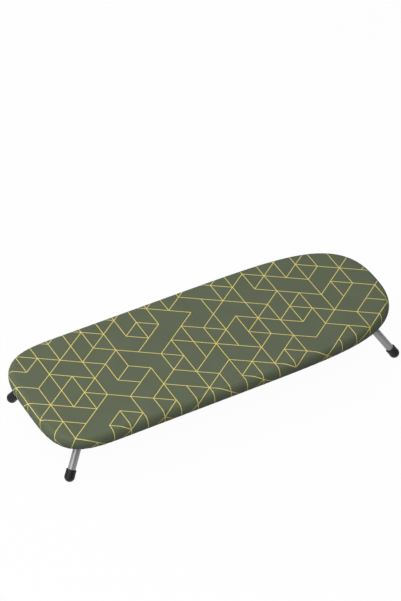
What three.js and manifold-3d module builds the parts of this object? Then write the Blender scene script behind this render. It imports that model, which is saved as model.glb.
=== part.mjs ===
// A folding tabletop ironing board, standing open on its four legs.
// Millimetres. +X points to the nose, +Y to the left, +Z up.
// The origin is on the table, under the middle of the board.

import * as THREE from 'three';
import { mergeVertices } from 'three/addons/utils/BufferGeometryUtils.js';
import Module from 'manifold-3d';

const wasm = await Module();
wasm.setup();

// Whole board
const boardLength = 800;
const boardWidth = 300;
const boardHeight = 112;
const tailCornerLength = 153;
const tailCornerPower = 3.68;
const noseTaperLength = 607;
const noseLengthPower = 7.35;
const noseWidthPower = 2.55;
const outlineTolerance = 0.45;

// Clearances shared by all pieces
const fitGap = 0.3;
const foldGap = 1;
const overrun = 2;

// Fabric cover and foam pad
const hemDrop = 6.5;
const rimOverhang = 12;
const rimSteps = 6;
const coverThickness = 1.2;
const padThickness = 5;
const padEdgeThickness = 5.7;
const hemReach = 13;
const creaseThickness = 1.1;
const endWallClearance = 0.5;
const elasticRadius = 1.25;
const elasticSetback = 0.8;
const elasticSides = 6;

// Double hinge between the halves
const pivotDrop = 12;
const linkInset = 32;
const linkThickness = 4;
const linkDrop = 9;
const linkEyeRadius = 3;
const pinRadius = 1.5;
const pinSides = 8;
const bossLength = 8;
const bossReach = 6.5;
const bossDrop = 8;
const foldArcSteps = 4;

// Lattice board
const latticePlateThickness = 3;
const ribThickness = 2.5;
const ribPitch = 36.6;
const ribRows = [25, 75];
const ventRows = [10, 50];
const ventRadius = 4.25;
const ventSides = 6;
const windowInset = 22;
const windowWidth = 48;
const windowMargin = 3;
const latticeEdgeBand = 5;
const railMargin = 1.25;
const railWidth = 3;
const railLipThickness = 1.5;
const railLipReach = 5;
const wingClearance = 0.7;

// Legs and feet
const axleDrop = 34;
const axleInset = 56;
const kneeInset = 70;
const kneeRadius = 22;
const kneeSteps = 4;
const tubeRadius = 8;
const tubeWall = 1.2;
const tubeSides = 12;
const tubeBoreSides = 6;
const axleClearance = 0.5;
const footLead = 41.5;
const footSplay = 31;
const footFlare = 0.2;
const footFlat = 0.6;
const sleeveLength = 15;
const sleeveWall = 2.4;
const sleeveLip = 1.2;
const sleeveSeat = 2;
const footSides = 12;
const footBallSteps = 4;

// Leg brackets and their screws
const endBracketGap = 4;
const endBracketLength = 22;
const endBracketWall = 2.5;
const clipSetback = 75;
const clipBracketLength = 18;
const strapWall = 3.8;
const strapSides = 14;
const flangeThickness = 3.5;
const flangeMargin = 6;
const seatThickness = 3;
const seatMargin = 1.5;
const screwRadius = 1.6;
const screwHeadRadius = 3.8;
const screwHeadHeight = 2.2;
const screwHeadMargin = 2.4;
const screwCrown = 0.9;
const screwGrip = 8;
const screwSides = 6;

// Sliding lock plate with its hand slot
const plateStart = 2;
const plateWingEnd = 106;
const plateWingWidth = 34;
const plateShoulderWidth = 34;
const plateHandleLength = 57;
const plateDepth = 16;
const plateWall = 3;
const plateWingThickness = 3.6;
const plateTopClearance = 0.6;
const plateCornerRadius = 6;
const plateShoulderRadius = 28;
const plateFlareRadius = 8;
const plateBodyCornerRadius = 10;
const slotInset = 26;
const slotMargin = 20.5;
const slotWidth = 17;
const wingHoleInset = 17;
const wingHoleLead = 32;
const wingHoleTail = 24;
const wingHoleLength = 12;
const wingHoleWidth = 5;
const edgeNotchSpread = 50;
const edgeNotchLength = 14;
const edgeNotchDepth = 4;
const plateTravel = 80;
const railEndMargin = 8;

// Guide tongue fixed to the lock plate
const tongueOverlap = 14;
const tongueLength = 79;
const tongueHalfWidth = 22;
const tongueThickness = 5.9;
const tongueCornerRadius = 5;
const postInset = 9;
const postSpread = 12;
const postRadius = 4;
const postPinRadius = 2.5;
const postPinLength = 4;
const postSides = 10;

// Tension cord, cord lock and hook at the nose
const cordRadius = 1.25;
const cordSpread = 3.2;
const cordSides = 8;
const hookWireRadius = 1;
const hookSides = 6;
const hookHalfWidth = 8;
const hookClearance = 44;
const hookLength = 13;
const hookFingerHeight = 9;
const hookTailGap = 2.4;
const cordLead = 8;
const bightSteps = 6;
const lockLead = 17;
const lockLength = 18;
const lockWidth = 20;
const lockClearance = 0.7;
const lockCornerRadius = 5;
const buttonRadius = 3.6;
const buttonLength = 6;
const buttonSeat = 1.3;
const buttonTravel = 3;
const buttonSides = 12;

// Shared drawing settings
const arcSteps = 4;
const slotSides = 8;
const denseSteps = 160;
const mergeTolerance = 1e-4;

// Heights that follow from the sizes above
const halfLength = boardLength / 2;
const halfWidth = boardWidth / 2;
const pivotHeight = boardHeight - pivotDrop;
const pivotOffset = pivotDrop + foldGap / 2;
const creaseStep = creaseThickness + fitGap;
const latticeTop = boardHeight - coverThickness - padThickness - 2 * fitGap;
const axleHeight = boardHeight - axleDrop;
const latticeBottom = axleHeight + tubeRadius + axleClearance;
const rimBottom = latticeBottom - hemDrop;
const rimDepth = boardHeight - rimBottom;
const rimMiddle = boardHeight - rimDepth / 2;
const latticeInset = coverThickness + padEdgeThickness + 2 * fitGap;
const latticeEnd = pivotOffset - (latticeTop - pivotHeight);
const padInset = coverThickness + fitGap;
const flangeTop = latticeBottom - fitGap;
const plateTop = latticeBottom - plateTopClearance;
const plateBottom = plateTop - plateDepth;
const wingBottom = plateTop - plateWingThickness;
const tongueBottom = plateTop - tongueThickness;
const cordHeight = rimBottom + coverThickness / 2;
const lockHeight = 2 * (latticeBottom - cordHeight - lockClearance);

// Places across the board
const elasticInset = hemReach - elasticSetback;
const railOuter = halfWidth - elasticInset - elasticRadius - railMargin;
const railInner = railOuter - railWidth;
const plateHalfWidth = railInner - fitGap;
const plateBodyHalfWidth = plateHalfWidth - plateWingWidth;
const plateHandleHalfWidth = plateBodyHalfWidth - plateShoulderWidth;
const slotHalfLength = plateHandleHalfWidth - slotMargin;
const wingHoleSpread = plateHalfWidth - wingHoleInset;
const linkSpread = halfWidth - linkInset;
const pinLength = linkThickness + 2 * bossLength;
const windowOuter = halfWidth - windowInset;
const windowInner = windowOuter - windowWidth;
const axleSpread = halfWidth - axleInset;
const footSpread = axleSpread + footSplay;
const strapRadius = tubeRadius + strapWall;
const sleeveTopRadius = tubeRadius + sleeveWall;
const footRadius = sleeveTopRadius + footFlare;
const footCentreHeight = footRadius - footFlat;
const screwOffset = strapRadius + screwHeadRadius + screwHeadMargin;
const flangeHalfWidth = screwOffset + flangeMargin;

// Places along the board, from the fold line
const plateHandleEnd = plateWingEnd + plateHandleLength;
const slotCentre = plateHandleEnd - slotInset;
const wingHoleReaches = [plateStart + wingHoleLead, plateWingEnd - wingHoleTail];
const tongueStart = plateHandleEnd - tongueOverlap;
const tongueEnd = tongueStart + tongueLength;
const postReach = plateHandleEnd - postInset;
const hookApexReach = tongueEnd + hookClearance;
const hookBarReach = hookApexReach + hookLength;
const lockReach = hookBarReach + lockLead;
const endBracketReach = plateWingEnd + endBracketGap + endBracketLength / 2;
const axleStart = endBracketReach - endBracketLength / 2 + endBracketWall + fitGap;
const kneeReach = halfLength - kneeInset;
const clipBracketReach = kneeReach - clipSetback;
const footReach = kneeReach + footLead;
const bracketPlaces = [
  { reach: endBracketReach, length: endBracketLength },
  { reach: clipBracketReach, length: clipBracketLength },
];

// Solids: a closed mesh with its shared corners merged can be joined and cut.
function toSolid(geometry) {
  const bare = geometry.clone();
  bare.deleteAttribute('normal');
  bare.deleteAttribute('uv');
  const merged = mergeVertices(bare, mergeTolerance);
  const corners = merged.index.array;
  const kept = [];
  for (let i = 0; i < corners.length; i += 3) {
    const [a, b, c] = corners.slice(i, i + 3);
    if (a !== b && b !== c && c !== a) kept.push(a, b, c);
  }
  const mesh = new wasm.Mesh({
    numProp: 3,
    vertProperties: new Float32Array(merged.attributes.position.array),
    triVerts: new Uint32Array(kept),
  });
  return new wasm.Manifold(mesh);
}

function toGeometry(solid) {
  const mesh = solid.getMesh();
  const geometry = new THREE.BufferGeometry();
  geometry.setAttribute('position', new THREE.BufferAttribute(mesh.vertProperties, 3));
  geometry.setIndex(new THREE.BufferAttribute(mesh.triVerts, 1));
  geometry.computeVertexNormals();
  return geometry;
}

const joined = (solids) => solids.reduce((whole, solid) => whole.add(solid));

// An outline in plan, raised from one height to another
function raised(shape, low, high) {
  const geometry = new THREE.ExtrudeGeometry(shape, {
    depth: high - low,
    bevelEnabled: false,
    curveSegments: arcSteps,
  });
  geometry.translate(0, 0, low);
  return toSolid(geometry);
}

// A side outline, drawn in X and Z, carried across Y
function across(shape, low, high) {
  const geometry = new THREE.ExtrudeGeometry(shape, {
    depth: high - low,
    bevelEnabled: false,
    curveSegments: arcSteps,
  });
  geometry.rotateX(Math.PI / 2);
  geometry.translate(0, high, 0);
  return toSolid(geometry);
}

// A box given by its reach from the fold line on one half, its Y span and its Z span
function block(side, near, far, right, left, low, high) {
  const geometry = new THREE.BoxGeometry(far - near, left - right, high - low);
  geometry.translate((side * (near + far)) / 2, (right + left) / 2, (low + high) / 2);
  return toSolid(geometry);
}

// Round bars along each axis. A bore's flats clear the round thing inside it.
const boreRadius = (radius, sides) => (radius + fitGap) / Math.cos(Math.PI / sides);

function barAlongX(radius, sides, start, end, y, z) {
  const geometry = new THREE.CylinderGeometry(radius, radius, end - start, sides);
  geometry.rotateZ(Math.PI / 2);
  geometry.translate((start + end) / 2, y, z);
  return toSolid(geometry);
}

function barAlongY(radius, sides, start, end, x, z) {
  const geometry = new THREE.CylinderGeometry(radius, radius, end - start, sides);
  geometry.translate(x, (start + end) / 2, z);
  return toSolid(geometry);
}

function barAlongZ(radius, sides, start, end, x, y) {
  const geometry = new THREE.CylinderGeometry(radius, radius, end - start, sides);
  geometry.rotateX(Math.PI / 2);
  geometry.translate(x, y, (start + end) / 2);
  return toSolid(geometry);
}

// A polygon with its corners rounded by arcs. Each corner is [x, y, radius].
function roundedShape(corners) {
  const points = [];
  corners.forEach(([x, y, radius], i) => {
    const corner = new THREE.Vector2(x, y);
    const before = corners[(i + corners.length - 1) % corners.length];
    const after = corners[(i + 1) % corners.length];
    const toBefore = new THREE.Vector2(before[0], before[1]).sub(corner).normalize();
    const toAfter = new THREE.Vector2(after[0], after[1]).sub(corner).normalize();
    if (radius === 0) {
      points.push(corner);
      return;
    }
    const halfAngle = Math.acos(toBefore.dot(toAfter)) / 2;
    const bisector = toBefore.clone().add(toAfter).normalize();
    const centre = corner.clone().addScaledVector(bisector, radius / Math.sin(halfAngle));
    const start = corner.clone().addScaledVector(toBefore, radius / Math.tan(halfAngle));
    const end = corner.clone().addScaledVector(toAfter, radius / Math.tan(halfAngle));
    const from = start.clone().sub(centre).angle();
    let turn = end.clone().sub(centre).angle() - from;
    if (turn > Math.PI) turn -= 2 * Math.PI;
    if (turn < -Math.PI) turn += 2 * Math.PI;
    for (let k = 0; k <= arcSteps; k += 1) {
      const angle = from + (turn * k) / arcSteps;
      points.push(new THREE.Vector2(
        centre.x + radius * Math.cos(angle),
        centre.y + radius * Math.sin(angle),
      ));
    }
  });
  return new THREE.Shape(points);
}

// A route through chosen stations, with one ring of the section at each of them
class Route extends THREE.Curve {
  constructor(stations) {
    super();
    this.stations = stations;
  }

  getPoint(t, target = new THREE.Vector3()) {
    const last = this.stations.length - 1;
    const place = Math.min(Math.max(t, 0), 1) * last;
    const index = Math.min(Math.floor(place), last - 1);
    return target.lerpVectors(this.stations[index], this.stations[index + 1], place - index);
  }

  getPointAt(u, target) {
    return this.getPoint(u, target);
  }

  getTangentAt(u, target) {
    return this.getTangent(u, target);
  }
}

function ring(radius, sides) {
  const points = [];
  for (let k = 0; k < sides; k += 1) {
    const angle = (2 * Math.PI * k) / sides;
    points.push(new THREE.Vector2(radius * Math.cos(angle), radius * Math.sin(angle)));
  }
  return points;
}

function rod(stations, radius, sides, boreSize = 0, boreSides = 0) {
  const shape = new THREE.Shape(ring(radius, sides));
  if (boreSize > 0) shape.holes.push(new THREE.Path(ring(boreSize, boreSides)));
  const geometry = new THREE.ExtrudeGeometry(shape, {
    steps: stations.length - 1,
    extrudePath: new Route(stations),
    bevelEnabled: false,
  });
  return toSolid(geometry);
}

// Board outline: superellipses |u|^p + |v|^q = 1 at the tail corners and at the nose.
// Each point carries its outward normal, so the outline can be drawn in by any inset.
function superellipsePoint(centre, reach, lengthPower, widthPower, angle, direction) {
  const u = Math.cos(angle) ** (2 / lengthPower);
  const v = Math.sin(angle) ** (2 / widthPower);
  const normal = new THREE.Vector2(
    (direction * lengthPower * u ** (lengthPower - 1)) / reach,
    (widthPower * v ** (widthPower - 1)) / halfWidth,
  ).normalize();
  return { point: new THREE.Vector2(centre + direction * reach * u, halfWidth * v), normal };
}

// Keeps only the points that the curve needs to stay within the tolerance
function thinned(dense) {
  const kept = [dense[0]];
  let skipped = [];
  dense.slice(1).forEach((candidate) => {
    const from = kept[kept.length - 1].point;
    const chord = candidate.point.clone().sub(from);
    const bows = skipped.map(({ point }) => (
      Math.abs(chord.cross(point.clone().sub(from))) / chord.length()
    ));
    if (Math.max(0, ...bows) > outlineTolerance) {
      kept.push(skipped[skipped.length - 1]);
      skipped = [];
    }
    skipped.push(candidate);
  });
  return [...kept, skipped[skipped.length - 1]];
}

function boardEdge() {
  const noseCentre = halfLength - noseTaperLength;
  const foldAngle = Math.acos((-noseCentre / noseTaperLength) ** (noseLengthPower / 2));
  const nose = [];
  const tail = [];
  for (let k = 0; k <= denseSteps; k += 1) {
    nose.push(superellipsePoint(
      noseCentre, noseTaperLength, noseLengthPower, noseWidthPower,
      (foldAngle * k) / denseSteps, 1,
    ));
    tail.push(superellipsePoint(
      tailCornerLength - halfLength, tailCornerLength, tailCornerPower, tailCornerPower,
      (Math.PI / 2) * (1 - k / denseSteps), -1,
    ));
  }
  const left = [...thinned(nose), ...thinned(tail)];
  const right = left.slice(1, -1).reverse().map(({ point, normal }) => ({
    point: new THREE.Vector2(point.x, -point.y),
    normal: new THREE.Vector2(normal.x, -normal.y),
  }));
  return [...left, ...right];
}

const edge = boardEdge();
const outline = (inset) => edge.map(({ point, normal }) => (
  point.clone().addScaledVector(normal, -inset)
));
const planBody = (inset, low, high) => raised(new THREE.Shape(outline(inset)), low, high);

// The whole board as one body with a half-elliptic rim, drawn in by an inset
function rimmedBody(inset) {
  const positions = [];
  const corners = [];
  const count = edge.length;
  for (let k = 0; k <= rimSteps; k += 1) {
    const angle = Math.PI * (k / rimSteps) - Math.PI / 2;
    const reach = rimOverhang - (rimOverhang - inset) * Math.cos(angle);
    const height = rimMiddle + (rimDepth / 2 - inset) * Math.sin(angle);
    outline(reach).forEach(({ x, y }) => positions.push(x, y, height));
  }
  for (let k = 0; k < rimSteps; k += 1) {
    for (let i = 0; i < count; i += 1) {
      const a = k * count + i;
      const b = k * count + ((i + 1) % count);
      corners.push(a, b, b + count, a, b + count, a + count);
    }
  }
  const top = rimSteps * count;
  THREE.ShapeUtils.triangulateShape(outline(rimOverhang), []).forEach(([a, b, c]) => {
    corners.push(a + top, b + top, c + top);
    corners.push(a, c, b);
  });
  const geometry = new THREE.BufferGeometry();
  geometry.setAttribute('position', new THREE.Float32BufferAttribute(positions, 3));
  geometry.setIndex(corners);
  return toSolid(geometry);
}

// What one half may fill on its side of the fold. Above the pivot it stays behind a round
// nose about the pivot, so that the two halves roll past each other as the board folds.
function foldRegions(side, inset) {
  const low = rimBottom - overrun;
  const high = boardHeight + overrun;
  const far = halfLength + overrun;
  const flat = new THREE.Shape([
    new THREE.Vector2(side * far, low),
    new THREE.Vector2(side * (foldGap / 2 + inset), low),
    new THREE.Vector2(side * (foldGap / 2 + inset), pivotHeight - inset),
    new THREE.Vector2(side * (pivotOffset + inset), pivotHeight - inset),
    new THREE.Vector2(side * (pivotOffset + inset), high),
    new THREE.Vector2(side * far, high),
  ]);
  const radius = pivotDrop - creaseStep - inset;
  const nose = [new THREE.Vector2(side * far, low)];
  nose.push(new THREE.Vector2(side * (pivotOffset - radius), low));
  for (let k = 0; k <= foldArcSteps; k += 1) {
    const angle = (Math.PI / 2) * (k / foldArcSteps);
    nose.push(new THREE.Vector2(
      side * (pivotOffset - radius * Math.cos(angle)),
      pivotHeight + radius * Math.sin(angle),
    ));
  }
  nose.push(new THREE.Vector2(side * far, pivotHeight + radius));
  return [flat, new THREE.Shape(nose)].map((shape) => (
    across(shape, -halfWidth - overrun, halfWidth + overrun)
  ));
}

function halfBody(side, inset) {
  const [flat, nose] = foldRegions(side, inset);
  const upper = rimmedBody(inset).intersect(flat);
  return upper.add(rimmedBody(inset + creaseStep).intersect(nose));
}

function linkSlots(side) {
  const half = linkThickness / 2 + fitGap;
  return [-linkSpread, linkSpread].map((y) => block(
    side, -overrun, pivotOffset + fitGap, y - half - fitGap, y + half + fitGap,
    pivotHeight - linkDrop - 2 * endWallClearance, boardHeight + overrun,
  ));
}

// Cover: a fabric cap over each half, turned in under the rim to the hem
function coverHalf(side) {
  const skin = halfBody(side, 0).subtract(halfBody(side, coverThickness));
  const opening = planBody(
    hemReach, rimBottom - overrun, latticeBottom + endWallClearance,
  );
  return linkSlots(side).reduce((solid, slot) => solid.subtract(slot), skin.subtract(opening));
}

// The strip of the cover that bridges the fold and crumples between the halves
function coverCrease() {
  const reach = pivotOffset - fitGap;
  const skin = rimmedBody(0).subtract(rimmedBody(creaseThickness));
  return skin.intersect(block(
    1, -reach, reach, -halfWidth - overrun, halfWidth + overrun,
    pivotHeight + fitGap, boardHeight + overrun,
  ));
}

function padHalf(side) {
  const body = halfBody(side, padInset);
  const below = block(
    side, -overrun, halfLength + overrun, -halfWidth, halfWidth,
    rimBottom - overrun, latticeBottom + fitGap,
  );
  const hollow = planBody(
    latticeInset - fitGap, latticeBottom - overrun, latticeTop + fitGap,
  ).intersect(block(
    side, latticeEnd - fitGap, halfLength, -halfWidth, halfWidth,
    latticeBottom - overrun, boardHeight,
  ));
  const foam = body.subtract(below).subtract(hollow);
  return linkSlots(side).reduce((solid, slot) => solid.subtract(slot), foam);
}

// Elastic cord that runs in the hem, one open loop round each half
function hemElastic(side) {
  const height = rimBottom + coverThickness + fitGap + elasticRadius;
  const start = foldGap + elasticRadius;
  const loop = outline(elasticInset).filter(({ x }) => side * x > ribPitch);
  const ordered = side > 0 ? [
    ...loop.filter(({ y }) => y < 0),
    ...loop.filter(({ y }) => y >= 0),
  ] : loop;
  const spread = halfWidth - elasticInset;
  const first = side > 0 ? -spread : spread;
  const stations = [
    new THREE.Vector3(side * start, first, height),
    ...ordered.map(({ x, y }) => new THREE.Vector3(x, y, height)),
    new THREE.Vector3(side * start, -first, height),
  ];
  return rod(stations, elasticRadius, elasticSides);
}

// Lattice board: a ribbed plate with steam holes, windows, hinge bosses and rails
const ribReach = (k) => latticeEnd + ribThickness / 2 + ribPitch * k;
const ribCount = Math.floor((halfLength - latticeInset - latticeEnd) / ribPitch);

function latticeHalf(side) {
  const halfSpace = block(
    side, latticeEnd, halfLength, -halfWidth, halfWidth, plateBottom, boardHeight,
  );
  const plate = planBody(latticeInset, latticeTop - latticePlateThickness, latticeTop);
  const wall = planBody(latticeInset, latticeBottom, latticeTop - latticePlateThickness / 2)
    .subtract(planBody(latticeInset + ribThickness, latticeBottom - overrun, latticeTop));
  const ribs = [];
  for (let k = 0; k <= ribCount; k += 1) {
    ribs.push(block(
      side, ribReach(k) - ribThickness / 2, ribReach(k) + ribThickness / 2,
      -halfWidth, halfWidth, latticeBottom, latticeTop - latticePlateThickness / 2,
    ));
  }
  const railRow = (railInner + railOuter) / 2;
  [...ribRows, railRow].forEach((row) => [-row, row].forEach((y) => ribs.push(block(
    side, latticeEnd, halfLength, y - ribThickness / 2, y + ribThickness / 2,
    latticeBottom, latticeTop - latticePlateThickness / 2,
  ))));
  const inside = planBody(latticeInset + ribThickness / 2, latticeBottom, latticeTop);
  let solid = plate.add(wall).add(joined(ribs).intersect(inside)).intersect(halfSpace);
  solid = solid.subtract(latticeOpenings(side));
  solid = solid.add(joined(latticeFittings(side)));
  return solid.subtract(joined(latticeBores(side)));
}

// Round steam holes over the middle, square windows beside the leg tubes
function latticeOpenings(side) {
  const cuts = [];
  const low = latticeTop - latticePlateThickness - overrun;
  for (let k = 0; k < ribCount; k += 1) {
    const near = ribReach(k) + ribThickness / 2 + windowMargin;
    const far = ribReach(k + 1) - ribThickness / 2 - windowMargin;
    cuts.push(block(side, near, far, windowInner, windowOuter, low, boardHeight));
    cuts.push(block(side, near, far, -windowOuter, -windowInner, low, boardHeight));
    ventRows.forEach((row) => [-row, row].forEach((y) => cuts.push(barAlongZ(
      ventRadius, ventSides, low, boardHeight, (side * (near + far)) / 2, y,
    ))));
  }
  const inside = planBody(latticeInset + latticeEdgeBand, latticeBottom, boardHeight + overrun);
  return joined(cuts).intersect(inside);
}

function latticeFittings(side) {
  const fittings = [];
  const railEnd = side < 0 ? plateTravel + railEndMargin : plateWingEnd;
  [-1, 1].forEach((hand) => {
    const spans = (inner, outer) => (hand > 0 ? [inner, outer] : [-outer, -inner]);
    const bossInner = linkThickness / 2 + fitGap;
    [-1, 1].forEach((face) => {
      const inner = linkSpread + (face > 0 ? bossInner : -bossInner - bossLength);
      fittings.push(block(
        side, latticeEnd, pivotOffset + bossReach, ...spans(inner, inner + bossLength),
        pivotHeight - bossDrop, latticeTop,
      ));
    });
    const lipTop = wingBottom - wingClearance;
    fittings.push(block(
      side, latticeEnd, railEnd, ...spans(railInner, railOuter),
      lipTop - railLipThickness, latticeBottom + ribThickness,
    ));
    fittings.push(block(
      side, latticeEnd, railEnd, ...spans(railInner - railLipReach, railOuter),
      lipTop - railLipThickness, lipTop,
    ));
    bracketPlaces.forEach(({ reach, length }) => {
      fittings.push(block(
        side, reach - length / 2 - seatMargin, reach + length / 2 + seatMargin,
        ...spans(axleSpread - flangeHalfWidth, axleSpread + flangeHalfWidth),
        latticeBottom, latticeBottom + seatThickness,
      ));
    });
  });
  return fittings;
}

function latticeBores(side) {
  const screws = [-1, 1].flatMap((hand) => screwPlaces(side, hand));
  const bores = screws.map(({ x, y }) => barAlongZ(
    boreRadius(screwRadius, screwSides), screwSides,
    latticeBottom - overrun, latticeBottom + screwGrip, x, y,
  ));
  [-linkSpread, linkSpread].forEach((y) => {
    const half = linkThickness / 2 + fitGap;
    bores.push(block(
      side, 0, pivotOffset + linkEyeRadius + endWallClearance, y - half, y + half,
      pivotHeight - linkDrop - 2 * endWallClearance, boardHeight,
    ));
    bores.push(barAlongY(
      boreRadius(pinRadius, pinSides), pinSides,
      y - pinLength / 2 - fitGap, y + pinLength / 2 + fitGap, side * pivotOffset, pivotHeight,
    ));
  });
  return bores;
}

// Hinge links: flat plates that hang below the line between their two eyes, so that
// they stay out of the ironing surface when the board is folded shut
function hingeLink(y) {
  const shape = new THREE.Shape();
  shape.moveTo(-pivotOffset - linkEyeRadius, pivotHeight);
  shape.absarc(-pivotOffset, pivotHeight, linkEyeRadius, Math.PI, 0, true);
  shape.absarc(pivotOffset, pivotHeight, linkEyeRadius, Math.PI, 0, true);
  shape.lineTo(pivotOffset + linkEyeRadius, pivotHeight - linkDrop);
  shape.lineTo(-pivotOffset - linkEyeRadius, pivotHeight - linkDrop);
  const plate = across(shape, y - linkThickness / 2, y + linkThickness / 2);
  const bores = [-pivotOffset, pivotOffset].map((x) => barAlongY(
    boreRadius(pinRadius, pinSides), pinSides,
    y - linkThickness, y + linkThickness, x, pivotHeight,
  ));
  return plate.subtract(joined(bores));
}

const hingePin = (side, hand) => barAlongY(
  pinRadius, pinSides, hand * linkSpread - pinLength / 2, hand * linkSpread + pinLength / 2,
  side * pivotOffset, pivotHeight,
);

// Leg brackets: a strap under the tube with a flange on each side of it
function screwPlaces(side, hand) {
  return bracketPlaces.flatMap(({ reach }) => [-screwOffset, screwOffset].map((offset) => (
    { x: side * reach, y: hand * (axleSpread + offset) }
  )));
}

function legBracket(side, hand, place, endWall) {
  const { reach, length } = place;
  const y = hand * axleSpread;
  const near = reach - length / 2;
  const far = reach + length / 2;
  const [start, end] = side > 0 ? [near, far] : [-far, -near];
  const flange = block(
    side, near, far, y - flangeHalfWidth, y + flangeHalfWidth,
    flangeTop - flangeThickness, flangeTop,
  );
  const cheeks = block(side, near, far, y - strapRadius, y + strapRadius, axleHeight, flangeTop);
  const strap = barAlongX(strapRadius, strapSides, start, end, y, axleHeight)
    .subtract(block(
      side, near - overrun, far + overrun, y - 2 * strapRadius, y + 2 * strapRadius,
      flangeTop, flangeTop + strapRadius,
    ));
  const boreNear = endWall > 0 ? near + endWall : near - overrun;
  const [boreStart, boreEnd] = side > 0
    ? [boreNear, far + overrun]
    : [-far - overrun, -boreNear];
  const bore = barAlongX(
    boreRadius(tubeRadius, tubeSides), tubeSides, boreStart, boreEnd, y, axleHeight,
  );
  const screwHoles = [-screwOffset, screwOffset].map((offset) => barAlongZ(
    boreRadius(screwRadius, screwSides), screwSides,
    flangeTop - flangeThickness - overrun, flangeTop + overrun, side * reach, y + offset,
  ));
  return joined([flange, cheeks, strap]).subtract(bore).subtract(joined(screwHoles));
}

// A pan head screw that holds a bracket's flange to the lattice
function bracketScrew({ x, y }) {
  const seat = flangeTop - flangeThickness - fitGap;
  const profile = [
    new THREE.Vector2(0, -screwHeadHeight),
    new THREE.Vector2(screwHeadRadius - screwCrown, -screwHeadHeight),
    new THREE.Vector2(screwHeadRadius, screwCrown - screwHeadHeight),
    new THREE.Vector2(screwHeadRadius, 0),
    new THREE.Vector2(screwRadius, 0),
    new THREE.Vector2(screwRadius, screwGrip),
    new THREE.Vector2(0, screwGrip),
  ];
  const geometry = new THREE.LatheGeometry(profile, screwSides);
  geometry.rotateX(Math.PI / 2);
  geometry.translate(x, y, seat);
  return toSolid(geometry);
}

// Legs: one tube each, straight as the axle, bent at the knee, with a rubber foot
function legLine(side, hand) {
  const knee = new THREE.Vector3(side * kneeReach, hand * axleSpread, axleHeight);
  const foot = new THREE.Vector3(side * footReach, hand * footSpread, footCentreHeight);
  const down = foot.clone().sub(knee).normalize();
  return { knee, foot, down };
}

function legTube(side, hand) {
  const { knee, foot, down } = legLine(side, hand);
  const back = new THREE.Vector3(-side, 0, 0);
  const halfAngle = Math.acos(back.dot(down)) / 2;
  const bisector = back.clone().add(down).normalize();
  const centre = knee.clone().addScaledVector(bisector, kneeRadius / Math.sin(halfAngle));
  const start = knee.clone().addScaledVector(back, kneeRadius / Math.tan(halfAngle));
  const end = knee.clone().addScaledVector(down, kneeRadius / Math.tan(halfAngle));
  const from = start.clone().sub(centre);
  const to = end.clone().sub(centre);
  const turn = from.angleTo(to);
  const stations = [new THREE.Vector3(side * axleStart, hand * axleSpread, axleHeight)];
  for (let k = 0; k <= kneeSteps; k += 1) {
    const share = k / kneeSteps;
    stations.push(centre.clone()
      .addScaledVector(from, Math.sin((1 - share) * turn) / Math.sin(turn))
      .addScaledVector(to, Math.sin(share * turn) / Math.sin(turn)));
  }
  stations.push(foot.clone().addScaledVector(down, -sleeveSeat - fitGap));
  return rod(stations, tubeRadius, tubeSides, tubeRadius - tubeWall, tubeBoreSides);
}

function foot(side, hand) {
  const { foot: centre, down } = legLine(side, hand);
  const bore = boreRadius(tubeRadius, footSides);
  const profile = [];
  for (let k = 0; k <= footBallSteps; k += 1) {
    const angle = (Math.PI / 2) * (k / footBallSteps);
    profile.push(new THREE.Vector2(
      footRadius * Math.sin(angle),
      -footRadius * Math.cos(angle),
    ));
  }
  profile.push(
    new THREE.Vector2(sleeveTopRadius, sleeveLength - sleeveLip),
    new THREE.Vector2(sleeveTopRadius - sleeveLip, sleeveLength),
    new THREE.Vector2(bore, sleeveLength),
    new THREE.Vector2(bore, sleeveSeat),
    new THREE.Vector2(0, sleeveSeat),
  );
  const geometry = new THREE.LatheGeometry(profile, footSides);
  const turn = new THREE.Quaternion().setFromUnitVectors(
    new THREE.Vector3(0, 1, 0), down.clone().negate(),
  );
  geometry.applyQuaternion(turn);
  geometry.translate(centre.x, centre.y, centre.z);
  const floor = block(
    side, footReach - 2 * footRadius, footReach + 2 * footRadius,
    centre.y - 2 * footRadius, centre.y + 2 * footRadius, -2 * footRadius, 0,
  );
  return toSolid(geometry).subtract(floor);
}

// Lock plate: a shallow tray with a handle end, and a thin wing along each side
function plateBodyShape(inset) {
  const body = plateBodyHalfWidth - inset;
  const handle = plateHandleHalfWidth - inset;
  const start = plateStart + inset;
  const wing = plateWingEnd - inset;
  const end = plateHandleEnd - inset;
  const corner = plateBodyCornerRadius - inset;
  const shoulder = plateShoulderRadius - inset;
  const flare = plateFlareRadius + inset;
  return roundedShape([
    [start, -body, 0], [wing, -body, corner], [wing, -handle, flare], [end, -handle, shoulder],
    [end, handle, shoulder], [wing, handle, flare], [wing, body, corner], [start, body, 0],
  ]);
}

function lockPlate() {
  const wings = raised(roundedShape([
    [plateStart, -plateHalfWidth, 0], [plateWingEnd, -plateHalfWidth, plateCornerRadius],
    [plateWingEnd, plateHalfWidth, plateCornerRadius], [plateStart, plateHalfWidth, 0],
  ]), wingBottom, plateTop);
  const pocket = raised(plateBodyShape(plateWall), plateBottom + plateWall, plateTop + overrun);
  const tray = raised(plateBodyShape(0), plateBottom, plateTop).add(wings).subtract(pocket);
  const posts = [-postSpread, postSpread].map((y) => barAlongZ(
    postRadius, postSides, plateBottom + plateWall / 2, tongueBottom - fitGap, postReach, y,
  ).add(barAlongZ(
    postPinRadius, postSides, plateBottom + plateWall / 2, tongueBottom + postPinLength,
    postReach, y,
  )));
  return tray.subtract(joined(plateCuts())).add(joined(posts));
}

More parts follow.
